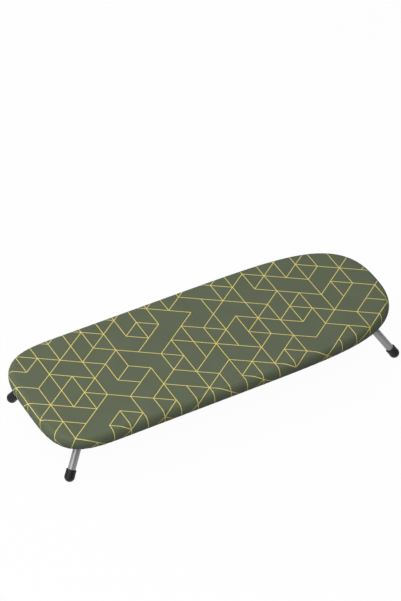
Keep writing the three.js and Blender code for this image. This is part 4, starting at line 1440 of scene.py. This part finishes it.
@dataclass
class Lattice:
    """One half of the ribbed board under the pad."""

    outline: Outline
    plastic: Material
    inset: float = 7.5
    near: float = 7.3
    top: float = 105.2
    bottom: float = 86.5
    plate_thickness: float = 3.0
    rib: float = 2.5
    rib_step: float = 0.15
    pitch: float = 36.6
    rib_rows: tuple[float, ...] = (25.0, 75.0)
    rail_row: float = 133.8
    vent_columns: tuple[float, ...] = (9.0, 36.0, 50.0, 64.0)
    vent_rows: tuple[float, ...] = (-8.2, 8.2)
    vent_radius: float = 4.1
    vent_sides: int = 16
    vent_end: float = 379.4
    window: Pair = (80.0, 128.0)
    window_margin: float = 3.0
    window_least: float = 12.0
    window_radius: float = 2.5
    edge_band: float = 5.0
    link_row: float = 118.0
    slot_half: float = 2.3
    slot_end: float = 16.2
    slot_bottom: float = 90.0
    wall_lap: float = 0.5
    wall_drop: float = 1.5
    edge_lap: float = 1.2
    boss_rows: Pairs = ((107.7, 115.7), (120.3, 128.3))
    boss_end: float = 19.0
    boss_height: Pair = (92.0, 104.0)
    rail_end: dict[Half, float] = field(
        default_factory=lambda: {Half.TAIL: 88.0, Half.NOSE: 106.0}
    )
    rail_wall: Pair = (132.3, 135.3)
    rail_lip: Pair = (127.3, 134.8)
    rail_height: Triple = (80.1, 81.6, 89.0)
    seats: Pairs = ((121.0, 12.5), (255.0, 10.5))
    seat_row: Pair = (70.0, 118.0)
    seat_height: Pair = (86.5, 89.5)
    screw_row: float = 94.0
    screw_offset: float = 18.0
    screw_boss: float = 4.4
    screw_height: Pair = (88.0, 102.6)

    def build(self) -> None:
        """Builds this half of the lattice."""
        half = self.outline.half
        piece(
            f"lattice_board_{half.tag}", self.surface(), self.plastic, half.body,
            "lattice_plastic", [f"lattice_{half.tag}"],
        )

    def rib_at(self, k: int) -> float:
        """The distance from the fold line to a cross rib."""
        return self.near + self.rib / 2 + self.pitch * k

    def surface(self) -> Surface:
        """The plate, edge wall, ribs, hinge bosses, rails and bracket seats.

        The edge wall reaches lowest and the ribs along the board least low, in two small
        steps, so that no two lower faces lie in one plane.

        Returns:
            The surface.
        """
        way, wide = self.outline.way, self.rib / 2
        count = int((self.outline.half_length - self.inset - self.near) // self.pitch)
        outer = self.outline.loop(self.inset, self.near)
        inner = self.outline.loop(self.inset + self.rib, self.near + self.rib)
        wall_x = (way * self.near, way * (self.near + self.rib))
        wall_z = (self.slot_bottom - self.wall_lap, self.top - self.wall_drop)
        between = self.link_row - self.slot_half
        parts = [
            plate(
                self.slotted(outer), self.openings(count),
                self.top - self.plate_thickness, self.top, 0.3,
            ),
            plate(outer, [inner.as_hole()], self.bottom, self.slot_bottom, 0.4),
            plate(self.open_wall(outer, inner), [], *wall_z, 0.4),
            block(wall_x, (-between, between), wall_z),
        ]
        buried = self.top - self.plate_thickness / 2
        cross, along = self.bottom + self.rib_step, self.bottom + 2 * self.rib_step
        for k in range(1, count + 1):
            x = self.rib_at(k)
            if x > self.outline.half_length - self.inset - self.rib:
                continue
            y = self.outline.width_at(self.inset + self.edge_lap, x + wide)
            parts.append(block((way * (x - wide), way * (x + wide)), (-y, y), (cross, buried)))
        for row in (*self.rib_rows, self.rail_row):
            reach = self.outline.reach_at(self.inset + self.edge_lap, row + wide)
            parts += [
                block((way * self.near, way * reach), (y - wide, y + wide), (along, buried))
                for y in (-row, row)
            ]
        return joined(parts + self.fittings())

    def slotted(self, outer: Loop) -> Loop:
        """The deck's outline with the two slots at the fold that the hinge links swing in.

        Each slot's four corners follow the outline, and a corner's direction is the sum of
        its two edges' directions.

        Args:
            outer: The outline without slots.

        Returns:
            The outline with slots.
        """
        way, near, far = self.outline.way, self.near, self.slot_end
        turns = ((near, -1), (far, -1), (far, 1), (near, 1))
        corners = [(x, row, face) for row in (-self.link_row, self.link_row) for x, face in turns]
        points = [(way * x, row + face * self.slot_half) for x, row, face in corners]
        normals = [(-way, -face) for *_, face in corners]
        order = slice(None, None, -way)
        return Loop(
            np.concatenate([outer.points, points[order]]),
            np.concatenate([outer.normals, normals[order]]),
        )

    def open_wall(self, outer: Loop, inner: Loop) -> Loop:
        """The edge wall in plan, round the board from one link's slot to the other's.

        Args:
            outer: The wall's outside.
            inner: Its inside.

        Returns:
            The wall's outline.
        """
        way = self.outline.way
        row = -way * (self.link_row + self.slot_half)
        near, far = way * self.near, way * (self.near + self.rib)
        ends = np.array([[near, -row], [far, -row], [far, row], [near, row]])
        out = np.array([[-way, -way], [way, -way], [way, way], [-way, way]])
        return Loop(
            np.concatenate([outer.points, ends[:2], inner.points[::-1], ends[2:]]),
            np.concatenate([outer.normals, out[:2], -inner.normals[::-1], out[2:]]),
        )

    def openings(self, count: int) -> list[Loop]:
        """Round steam holes over the middle, and windows beside the leg tubes.

        Args:
            count: The number of cells between cross ribs.

        Returns:
            The edges of the holes.
        """
        holes = []
        way, clear = self.outline.way, self.inset + self.edge_band
        for k in range(count):
            start, end = self.rib_at(k), self.rib_at(k + 1)
            for row in self.vent_rows:
                x = (start + end) / 2 + row
                limit = self.outline.width_at(clear, x + self.vent_radius)
                holes += [
                    circle_loop(way * x, y, self.vent_radius, self.vent_sides).as_hole()
                    for column in self.vent_columns
                    for y in (-column, column)
                    if column + self.vent_radius < limit and x < self.vent_end
                ]
            near = max(start + self.rib / 2, self.slot_end) + self.window_margin
            far = end - self.rib / 2 - self.window_margin
            outer = min(self.window[1], self.outline.width_at(clear, far))
            if outer - self.window[0] > self.window_least:
                xs = sorted((way * near, way * far))
                holes += [
                    rectangle(xs, ys, self.window_radius).as_hole()
                    for ys in ((self.window[0], outer), (-outer, -self.window[0]))
                ]
        return holes

    def fittings(self) -> list[Surface]:
        """Hinge bosses, plate rails, bracket seats and screw bosses.

        Returns:
            Closed surfaces.
        """
        way = self.outline.way
        near, rail_end = way * self.near, way * self.rail_end[self.outline.half]
        low, lip, high = self.rail_height
        bottom, top = self.screw_height
        boss = [(0, bottom), (self.screw_boss, bottom), (self.screw_boss, top), (0, top)]
        parts = []
        for hand in Hand:
            side = hand.value
            blocks = [(near, way * self.boss_end, row, self.boss_height) for row in self.boss_rows]
            blocks.append((near, rail_end, self.rail_wall, (low, high)))
            for start, end, (inner, outer), z in blocks:
                parts.append(block((start, end), (side * inner, side * outer), z))
            lip_y = (side * self.rail_lip[0], side * self.rail_lip[1])
            parts.append(block((near, rail_end), lip_y, (low, lip), 0.3))
            for reach, reach_half in self.seats:
                xs = (way * (reach - reach_half), way * (reach + reach_half))
                ys = (side * self.seat_row[0], side * self.seat_row[1])
                parts.append(block(xs, ys, self.seat_height))
                for offset in (-self.screw_offset, self.screw_offset):
                    base = (way * reach, side * self.screw_row + offset, 0.0)
                    parts.append(lathe(boss, 20, base))
        return parts


# Legs, feet and brackets


@dataclass
class Leg:
    """A bent tube leg with its rubber foot, its two brackets and their screws."""

    half: Half
    hand: Hand
    paint: Material
    rubber: Material
    plastic: Material
    axle_height: float = 78.0
    axle_spread: float = 94.0
    axle_start: float = 112.8
    knee_reach: float = 330.0
    knee_radius: float = 22.0
    foot_reach: float = 371.5
    foot_spread: float = 125.0
    foot_height: float = 10.0
    tube_radius: float = 8.0
    tube_rounding: float = 0.8
    tube_end: float = 2.4
    foot_radius: float = 10.6
    sleeve_length: float = 15.0
    sleeve_radius: float = 10.4
    lip_radius: float = 1.1
    flange_top: float = 86.2
    flange_thickness: float = 3.5
    flange_half: float = 24.0
    strap_radius: float = 11.8
    screw_offset: float = 18.0
    screw_profile: Pairs = (
        (0.0, -1.2), (1.1, -1.3), (1.5, -2.1), (2.7, -2.15), (3.4, -1.8), (3.8, -1.0),
        (3.8, 0.0), (1.6, 0.02), (1.6, 7.6), (1.2, 8.0), (0.0, 8.0),
    )
    brackets: tuple[tuple[str, float, float, float], ...] = (
        ("end", 121.0, 22.0, 2.5), ("clip", 255.0, 18.0, 0.0)
    )
    bracket_edge: float = 0.7

    def build(self) -> list[Surface]:
        """Builds the leg, its foot and its two brackets.

        Returns:
            The four bracket screws, which one piece holds for a whole half.
        """
        tag, screws = f"{self.half.tag}_{self.hand.tag}", []
        for name, surface, finish, slot, node in (
            ("leg_bent_tube", self.tube(), self.paint, "leg_paint", "leg_tube"),
            ("foot_cap", self.foot(), self.rubber, "foot_rubber", "foot"),
        ):
            piece(f"{name}_{tag}", surface, finish, f"leg_{tag}", slot, [f"{node}_{tag}"])
        for kind, reach, length, wall in self.brackets:
            piece(
                f"{kind}_bracket_moulding_{tag}", self.bracket(reach, length, wall),
                self.plastic, self.half.body, "bracket_plastic", [f"{kind}_bracket_{tag}"],
            )
            screws += [self.screw(reach, y) for y in (-self.screw_offset, self.screw_offset)]
        return screws

    def line(self) -> tuple[Array, Array, Array]:
        """The line of the leg below its knee.

        Returns:
            The knee, the foot's middle and the direction from one to the other.
        """
        way, side = self.half.value, self.hand.value
        knee = np.array([way * self.knee_reach, side * self.axle_spread, self.axle_height])
        foot = np.array([way * self.foot_reach, side * self.foot_spread, self.foot_height])
        return knee, foot, unit(foot - knee)

    def tube(self) -> Surface:
        """The tube, from its end bracket along the axle, round the knee and down.

        Returns:
            The surface.
        """
        knee, foot, down = self.line()
        start = (self.half.value * self.axle_start, *knee[1:])
        corners = np.stack([start, knee, foot - down * self.tube_end])
        path = rounded_path(corners, [self.knee_radius], steps=14)
        return tube(path, self.tube_radius, 32, self.tube_rounding)

    def foot(self) -> Surface:
        """The foot: a ball end, a straight sleeve and a rolled lip, flat on the table.

        Returns:
            The surface.
        """
        _, middle, down = self.line()
        turn = np.linspace(0, QUARTER, 12)
        ball = self.foot_radius * stacked(np.sin(turn), -np.cos(turn))
        radius, length, roll = self.sleeve_radius, self.sleeve_length, self.lip_radius
        turn = np.linspace(0, math.pi, 7)
        rolled = stacked(radius - roll + roll * np.cos(turn), length - roll + roll * np.sin(turn))
        collar = [(self.foot_radius - 0.25, 3.0), (self.foot_radius - 0.45, 7.0),
                  (radius - 0.1, length - 2.6)]
        inner = [(self.tube_radius + 0.15, length - 1.4), (0.0, 6.0)]
        made = lathe(np.concatenate([ball, collar, rolled, inner]), 40, middle, -down)
        made.points[:, 2] = np.maximum(made.points[:, 2], 0.0)
        return made

    def bracket(self, reach: float, length: float, wall: float) -> Surface:
        """A bracket: its section in Y and Z, carried along X.

        Args:
            reach: The middle of the bracket, from the fold line.
            length: Its length along X.
            wall: The thickness of its closed end, or zero for an open clip.

        Returns:
            The surface.
        """
        low = self.flange_top - self.flange_thickness
        strap, half_width, middle = self.strap_radius, self.flange_half, self.axle_height
        ring = circle(np.linspace(math.pi, 2 * math.pi, 25))
        arc = (0, middle) + strap * ring
        left = rounded_loop(
            [(-half_width, low, 1.2), (-strap, low, 1.0), (-strap, middle, 0.05),
             (strap, middle, 0.05), (strap, low, 1.0), (half_width, low, 1.2),
             (half_width, self.flange_top, 0.8), (-half_width, self.flange_top, 0.8)],
            steps=5,
        )
        x, y = left.points.T
        keep = np.abs(y - middle) > 0.4
        first = keep & (x < 0) & (y < low + 2.0) & (np.arange(len(x)) < len(x) // 2)
        rest = keep & ~first
        outer = Loop(
            np.concatenate([left.points[first], arc, left.points[rest]]),
            np.concatenate([left.normals[first], ring, left.normals[rest]]),
        )
        bore = circle_loop(0.0, middle, self.tube_radius + 0.1, 40).as_hole()
        near, far = reach - length / 2, reach + length / 2
        parts = [plate(outer, [bore], near + wall, far, self.bracket_edge)]
        if wall:
            parts.append(plate(outer, [], near, near + wall + 0.6, self.bracket_edge))
        made = joined(parts)
        across, up, along = made.points.T
        middle = self.hand.value * self.axle_spread
        made.points = stacked(self.half.value * along, middle + across, up)
        return made.outward()

    def screw(self, reach: float, offset: float) -> Surface:
        """A pan head screw with a round drive recess, head down.

        Args:
            reach: The screw's distance from the fold line.
            offset: Its distance from the axle's line.

        Returns:
            The surface.
        """
        seat = self.flange_top - self.flange_thickness - 0.3
        base = (self.half.value * reach, self.hand.value * self.axle_spread + offset, seat)
        return lathe(self.screw_profile, 24, base)


# Lock plate and tongue


@dataclass
class LockPlate:
    """The sliding lock plate with its hand slot, and the guide tongue fixed to it."""

    plastic: Material
    pale: Material
    start: float = 2.0
    wing_end: float = 106.0
    handle_end: float = 163.0
    half_width: float = 132.0
    body_half: float = 98.0
    handle_half: float = 64.0
    bottom: float = 69.9
    top: float = 85.9
    wall: float = 3.0
    wing: float = 3.6
    slot_centre: float = 137.0
    slot_half: float = 43.5
    slot_width: float = 17.0
    passage_half: float = 22.3
    passage_bottom: float = 79.7
    notch_spread: float = 50.0
    notch_half: float = 7.0
    notch_depth: float = 4.0
    pips: Pairs = ((120.5, 24.0), (153.0, 30.0))
    pip_profile: Pairs = (
        (0.0, -0.5), (0.7, -0.4), (1.3, 0.0), (1.5, 0.4), (0.0, 1.2)
    )
    posts: Pair = (154.0, 12.0)
    post_profile: Pairs = (
        (0.0, 0.0), (4.0, 0.1), (4.0, 7.4), (3.4, 8.0), (0.0, 8.0)
    )
    edge: float = 0.4
    lap: float = 0.05
    wing_slots: Pairs = ((34.0, 115.0), (82.0, 115.0))
    wing_slot: Pair = (6.0, 2.5)
    wing_window: Triple = (8.0, 98.0, 92.0)
    ramp: float = 9.0
    ramp_end: Pair = (84.0, 98.0)
    tongue: Quad = (149.0, 228.0, 22.0, 80.0)
    tongue_pins: Triple = (214.0, 12.0, 2.6)

    def build(self) -> None:
        """Builds the plate and the tongue."""
        for name, surface, plastic, slot, node in (
            ("lock_plate_moulding", self.plate_surface(), self.plastic, "plate_plastic",
             "lock_plate"),
            ("guide_tongue_moulding", self.tongue_surface(), self.pale, "tongue_plastic",
             "guide_tongue"),
        ):
            piece(name, surface, plastic, "lock_plate", slot, [node])

    def body_corners(self, inset: float) -> list[Triple]:
        """The tray's outline, with notches in its fold edge.

        Args:
            inset: How far the outline is drawn in.

        Returns:
            Its corners, each with a radius.
        """
        body, handle = self.body_half - inset, self.handle_half - inset
        start, wing, end = self.start + inset, self.wing_end - inset, self.handle_end - inset
        notches = []
        for y in (self.notch_spread, -self.notch_spread):
            far, near = y + self.notch_half + inset, y - self.notch_half - inset
            deep = self.start + self.notch_depth + inset
            notches += [(start, far, 0.4), (deep, far, 0.8), (deep, near, 0.8), (start, near, 0.4)]
        return [
            (start, -body, 0.6), (wing, -body, 10 - inset), (wing, -handle, 8 + inset),
            (end, -handle, 28 - inset), (end, handle, 28 - inset), (wing, handle, 8 + inset),
            (wing, body, 10 - inset), (start, body, 0.6), *notches,
        ]

    def plate_surface(self) -> Surface:
        """The tray's floor and walls, the wings, the slot's collar and the side ramps.

        Returns:
            The surface.
        """
        low, hole = self.bottom, [self.slot(0.0).as_hole()]
        inner = rounded_loop(self.body_corners(self.wall)).as_hole()
        long, wide = self.wing_slot
        start, end, half = self.wing_window
        windows = [
            rectangle((x - long, x + long), (y - wide, y + wide), 1.0).as_hole()
            for x, reach in self.wing_slots
            for y in (-reach, reach)
        ]
        windows.append(rectangle((start, end), (-half, half), 8.0).as_hole())
        outline = rectangle(
            (self.start, self.wing_end), (-self.half_width, self.half_width), 0.6, 6.0, steps=8
        )
        floor, walls, upper, collar, rim, wings = (
            plate(*form)
            for form in (
                (rounded_loop(self.body_corners(0.0)), hole, low, low + self.wall, 1.3),
                (rounded_loop(self.body_corners(self.lap)), [inner], low + 1.6,
                 self.passage_bottom, self.edge),
                (self.open_ring(), [], self.passage_bottom - 0.9, self.top, self.edge),
                (self.slot(2.0), hole, low + 0.4, low + 8.0, 0.5),
                (self.slot(3.4), hole, low - 0.5, low + 1.0, 0.45),
                (outline, windows, self.top - self.wing, self.top, 0.5),
            )
        )
        x, y = self.posts
        posts = [lathe(self.post_profile, 24, (x, side * y, low + 2.4)) for side in (-1, 1)]
        pips = [
            lathe(self.pip_profile, 16, (x, side * y, low))
            for x, y in self.pips
            for side in (-1, 1)
        ]
        return joined([floor, walls, upper, *posts, collar, rim, wings, *pips, *self.ramps()])

    def open_ring(self) -> Loop:
        """The upper wall's outline in plan, open where the tongue passes the handle end.

        Returns:
            The outline.
        """
        outer, inner = self.body_corners(self.lap), self.body_corners(self.wall)
        turned = [*outer[4:], *outer[:4]]
        back = [*inner[4:], *inner[:4]][::-1]
        out, deep, gap = self.handle_end - self.lap, self.handle_end - self.wall, self.passage_half
        ends = [(x, y, 0.3) for x, y in ((out, gap), (out, -gap), (deep, -gap), (deep, gap))]
        return rounded_loop([ends[0], *turned, ends[1], ends[2], *back, ends[3]])

    def slot(self, grow: float) -> Loop:
        """The hand slot's edge, a rectangle with round ends.

        Args:
            grow: How far the edge is moved out.

        Returns:
            The outline.
        """
        half, width = self.slot_half + grow, self.slot_width / 2 + grow
        x = (self.slot_centre - width, self.slot_centre + width)
        return rectangle(x, (-half, half), width - 0.01, steps=12)

    def ramps(self) -> list[Surface]:
        """The hollow ramps from the tray's sides to the wings.

        In section each is a quarter of a hollow ellipse, 9 mm out and 9 mm high, carried
        from the fold edge to the tray's corner, where it runs out.

        Returns:
            Two surfaces.
        """
        turn = np.linspace(0, QUARTER, 10)
        fade = np.cos(np.linspace(0, QUARTER, 8))[1:] + 0.01
        shrink = np.concatenate([np.ones(12), fade])[:, None]
        corner, end = self.ramp_end
        straight = np.linspace(self.start, corner, 12)
        x = np.concatenate([straight, np.linspace(corner, end, 8)[1:]])[:, None]
        y = self.body_half - 0.2 + self.ramp * (1 - np.sin(turn)) * shrink
        z = self.top - self.wing + 0.2 - self.ramp * (1 - np.cos(turn)) * shrink
        inner = np.full_like(x, self.body_half - 1.5)
        y = np.concatenate([y, inner, inner], axis=1)
        z = np.concatenate([z, z[:, -1:], np.full_like(x, self.top - 2.0)], axis=1)
        parts = []
        for side in (-1, 1):
            made = grid(stacked(x, side * y, z), closed=True)
            count = y.shape[1]
            last = len(made.points) - count
            made.faces += [tuple(range(count)), tuple(reversed(range(last, last + count)))]
            parts.append(made.outward())
        return parts

    def tongue_surface(self) -> Surface:
        """The tongue: a blade with soft edges, and the heads of its two pins.

        Returns:
            The surface.
        """
        start, end, half, low = self.tongue
        outline = rectangle((start, end), (-half, half), 1.0, 5.0, steps=8)
        x, spread, radius = self.tongue_pins
        heads = [
            plate(circle_loop(x, y, radius, 24), [], low - 0.5, low + 0.6, 0.4)
            for y in (-spread, spread)
        ]
        return joined([plate(outline, [], low, self.top, 0.8), *heads])


# Tension cord, hook and cord lock


@dataclass
class Tensioner:
    """The elastic that pulls the hem tight at the nose, its hook and its cord lock."""

    elastic: Material
    steel: Material
    plastic: Material
    height: float = 80.6
    cord_radius: float = 1.25
    spread: float = 3.2
    bar: float = 285.0
    apex: float = 272.0
    wire: float = 1.0
    strand: Pairs = (
        (386.5, 3.0), (381.0, 2.8), (376.0, 2.0), (371.0, 0.5), (366.0, 0.0), (300.0, 0.0),
        (293.0, 0.0),
    )
    finger: Pair = (262.2, 85.2)
    lock: float = 302.0
    lock_height: Pair = (75.4, 85.8)
    plunger: Quad = (3.6, 8.7, 14.7, 1.0)

    def build(self) -> None:
        """Builds the cord, the hook, the lock and its button."""
        for name, surface, material, body, slot, node in (
            ("tension_cord_doubled", self.cord(), self.elastic, "nose_half", "elastic_cord",
             "tension_cord"),
            ("tension_hook_wire", self.hook(), self.steel, "nose_half", "hook_steel",
             "tension_hook"),
            ("cord_lock_shell", self.shell(), self.plastic, "cord_lock", "cord_lock_plastic",
             "cord_lock_body"),
            ("cord_lock_plunger", self.button(), self.plastic, "cord_lock_button",
             "cord_lock_plastic", "cord_lock_button"),
        ):
            piece(name, surface, material, body, slot, [node])

    def cord(self) -> Surface:
        """Two strands from the hem that meet in a loop round the hook's bar.

        Returns:
            The surface.
        """
        bend = self.wire + self.cord_radius + 0.3
        share = np.linspace(0, 1, 13)
        angle = -QUARTER - math.pi * share
        loop = stacked(
            self.bar + bend * np.cos(angle), self.spread * (1 - 2 * share),
            self.height + bend * np.sin(angle),
        )
        out = np.array([(x, 0.0, rise) for x, rise in self.strand])
        first = out + (0.0, self.spread, self.height)
        last = (out + (0.0, -self.spread, self.height))[::-1]
        return tube(np.concatenate([first, loop, last]), self.cord_radius, 16, 0.4)

    def hook(self) -> Surface:
        """The wire: a finger behind a rib, then a triangle that takes the cord.

        Returns:
            The surface.
        """
        high, (finger, under) = self.height, self.finger
        corners = np.array(
            [
                [finger, 0, under + 9], [finger, 0, under - 0.4], [self.apex, 0, high],
                [self.bar, 8, high], [self.bar, -8, high], [self.apex + 3.2, -2.2, high],
            ]
        )
        path = rounded_path(corners, [1.4, 2.0, 1.6, 1.6], steps=6)
        return tube(path, self.wire, 16, 0.4)

    def shell(self) -> Surface:
        """The lock's body: a rounded block with soft edges."""
        x, y = ((middle - reach, middle + reach) for middle, reach in ((self.lock, 9), (0, 10)))
        return plate(rectangle(x, y, 5.0, steps=8), [], *self.lock_height, 1.6)

    def button(self) -> Surface:
        """The plunger: a round bar with a domed end, along Y.

        Returns:
            The surface.
        """
        radius, start, end, soft = self.plunger
        dome = (radius - soft, end - soft) + soft * circle(np.linspace(0, QUARTER, 6))
        profile = np.concatenate([[[0, start], [radius, start]], dome, [[0, end]]])
        return lathe(profile, 28, (self.lock, 0.0, self.height), (0.0, 1.0, 0.0))


# Floor, lights and camera


@dataclass
class Studio:
    """A plain pale floor, soft light, and the camera at the photograph's angle."""

    height_px: int = 601
    focal_px: float = 3085.82
    distance: float = 6151.39
    aim: Pair = (10.3, -74.8)
    board_top: float = 112.0
    forward: Triple = (0.37027219, 0.64051463, -0.6727849)
    right: Triple = (0.87279923, -0.48781936, 0.01593056)
    upward: Triple = (0.31799374, 0.59310478, 0.73966661)
    sensor_mm: float = 36.0
    floor_half: float = 9.0
    floor_colour: str = "4c4c4c"
    floor_glow: float = 1.35
    floor_share: float = 0.72
    sky_strength: float = 0.66
    horizon_strength: float = 0.22
    sky_power: float = 0.8
    side_fall: float = 0.4
    lamps: tuple[tuple[str, Triple, float, float], ...] = (
        ("key", (-1.75, 1.15, 2.1), 1.6, 33.0),
        ("fill", (-0.6, -1.7, 3.2), 2.0, 43.0),
        ("side", (-2.3, -0.9, 0.7), 1.5, 19.0),
    )

    def build(self) -> None:
        """Builds the floor, the lights and the camera."""
        bpy.context.scene.view_settings.view_transform = "Standard"
        self.floor()
        self.world()
        for lamp in self.lamps:
            self.lamp(*lamp)
        self.camera()

    def floor(self) -> None:
        """A pale floor that is nearly white to the camera and keeps a soft shadow."""
        mesh = bpy.data.meshes.new("floor")
        reach = self.floor_half
        corners = [(-reach, -reach, 0), (reach, -reach, 0), (reach, reach, 0), (-reach, reach, 0)]
        mesh.from_pydata(corners, [], [(0, 1, 2, 3)])
        floor = bpy.data.objects.new("floor", mesh)
        bpy.context.scene.collection.objects.link(floor)
        material, tree = blank_material("matt_white_paper")
        paper = add(tree, "BsdfDiffuse", linear(self.floor_colour))
        glow = add(tree, "Emission", linear("ffffff"), self.floor_glow)
        rays = add(tree, "LightPath").outputs
        seen = add(
            tree, "Math", rays["Is Camera Ray"], rays["Is Glossy Ray"], operation="MAXIMUM"
        )
        seen = add(tree, "Math", seen, rays["Is Transmission Ray"], operation="MAXIMUM")
        share = add(tree, "Math", seen, self.floor_share, operation="MULTIPLY")
        add(tree, "OutputMaterial", add(tree, "MixShader", share, paper, glow))
        mesh.materials.append(material)

    def world(self) -> None:
        """A pale sky, brighter overhead than at the horizon, and white to the camera.

        The strength is the horizon's plus the ray's height share, to a power, times the
        rest. It falls from the key lamp's side of the studio to the other side.
        """
        world = bpy.data.worlds.new("studio")
        bpy.context.scene.world = world
        world.use_nodes = True
        tree = world.node_tree
        tree.nodes.clear()
        rays = add(tree, "LightPath").outputs
        seen = add(
            tree, "Math", rays["Is Camera Ray"], rays["Is Transmission Ray"], operation="MAXIMUM"
        )
        ray = add(tree, "TexCoord").outputs["Generated"]
        height = add(tree, "SeparateXYZ", ray).outputs[2]
        key_x, key_y, _ = self.lamps[0][1]
        away = Vector((-key_x, -key_y, 0.0)).normalized()
        side = add(tree, "VectorMath", ray, away, operation="DOT_PRODUCT").outputs["Value"]
        half_fall = self.side_fall / 2
        fall = add(tree, "Math", side, -half_fall, 1 - half_fall, operation="MULTIPLY_ADD")
        rise = add(tree, "Math", height, 0.0, operation="MAXIMUM")
        rise = add(tree, "Math", rise, self.sky_power, operation="POWER")
        spread = (self.sky_strength - self.horizon_strength, self.horizon_strength)
        sky = add(tree, "Math", rise, *spread, operation="MULTIPLY_ADD")
        sky = add(tree, "Math", sky, fall, operation="MULTIPLY")
        dark = add(tree, "Math", 1.0, seen, operation="SUBTRACT")
        strength = add(tree, "Math", sky, dark, seen, operation="MULTIPLY_ADD")
        add(tree, "OutputWorld", add(tree, "Background", linear("ffffff"), strength))

    def lamp(self, name: str, place: Triple, size: float, watts: float) -> None:
        """A square area lamp that looks at the middle of the board.

        Args:
            name: The lamp's name.
            place: Where it hangs, in metres.
            size: The length of its side.
            watts: Its power.
        """
        light = bpy.data.lights.new(name, "AREA")
        light.size = size
        light.energy = watts
        lamp = bpy.data.objects.new(name, light)
        lamp.location = place
        look = Vector((0, 0, 0.1)) - Vector(place)
        lamp.rotation_euler = look.to_track_quat("-Z", "Y").to_euler()
        bpy.context.scene.collection.objects.link(lamp)

    def camera(self) -> None:
        """The camera, from its three directions, its distance and its aim."""
        forward, right, upward = (np.array(v) for v in (self.forward, self.right, self.upward))
        place = (
            np.array([0.0, 0.0, self.board_top]) - self.aim[0] * right - self.aim[1] * upward
            - self.distance * forward
        ) * MILLIMETRE
        lens = bpy.data.cameras.new("photo_camera")
        lens.sensor_fit = "VERTICAL"
        lens.sensor_height = self.sensor_mm
        lens.lens = self.sensor_mm * self.focal_px / self.height_px
        lens.clip_end = 100.0
        camera = bpy.data.objects.new("photo_camera", lens)
        turn = Matrix([right, upward, -forward]).transposed()
        camera.matrix_world = Matrix.Translation(Vector(place)) @ turn.to_4x4()
        bpy.context.scene.collection.objects.link(camera)
        bpy.context.scene.camera = camera


def main() -> None:
    """Builds the studio and every sub-assembly in order."""
    Studio().build()
    plastic, steel = LATTICE_PLASTIC.material(), SCREW_STEEL.material()
    elastic, cloth = BraidedElastic().material(), PrintedCotton().material()
    foam, paint, rubber, bracket = (
        finish.material() for finish in (FELTED_FOAM, LEG_PAINT, FOOT_RUBBER, BRACKET_PLASTIC)
    )
    outlines = [Outline(half) for half in Half]
    covers = [Cover(outline, cloth, foam, elastic) for outline in outlines]
    for cover in covers:
        cover.build()
    covers[0].build_strip()
    for outline in outlines:
        Lattice(outline, plastic).build()
    for half in Half:
        legs = [Leg(half, hand, paint, rubber, bracket) for hand in Hand]
        screws = joined([screw for leg in legs for screw in leg.build()])
        nodes = [f"bracket_screw_{half.tag}_{hand.tag}_{k}" for hand in Hand for k in range(1, 5)]
        piece(f"bracket_screws_{half.tag}", screws, steel, half.body, "screw_steel", nodes)
    LockPlate(PLATE_PLASTIC.material(), TONGUE_PLASTIC.material()).build()
    Tensioner(elastic, steel, LOCK_PLASTIC.material()).build()
    hinge = HINGE_STEEL.material()
    for hand in Hand:
        dress(bpy.data.objects[f"hinge_link_{hand.tag}"], hinge)
        for half in Half:
            dress(bpy.data.objects[f"hinge_pin_{half.tag}_{hand.tag}"], steel)


if __name__ == "__main__":
    main()
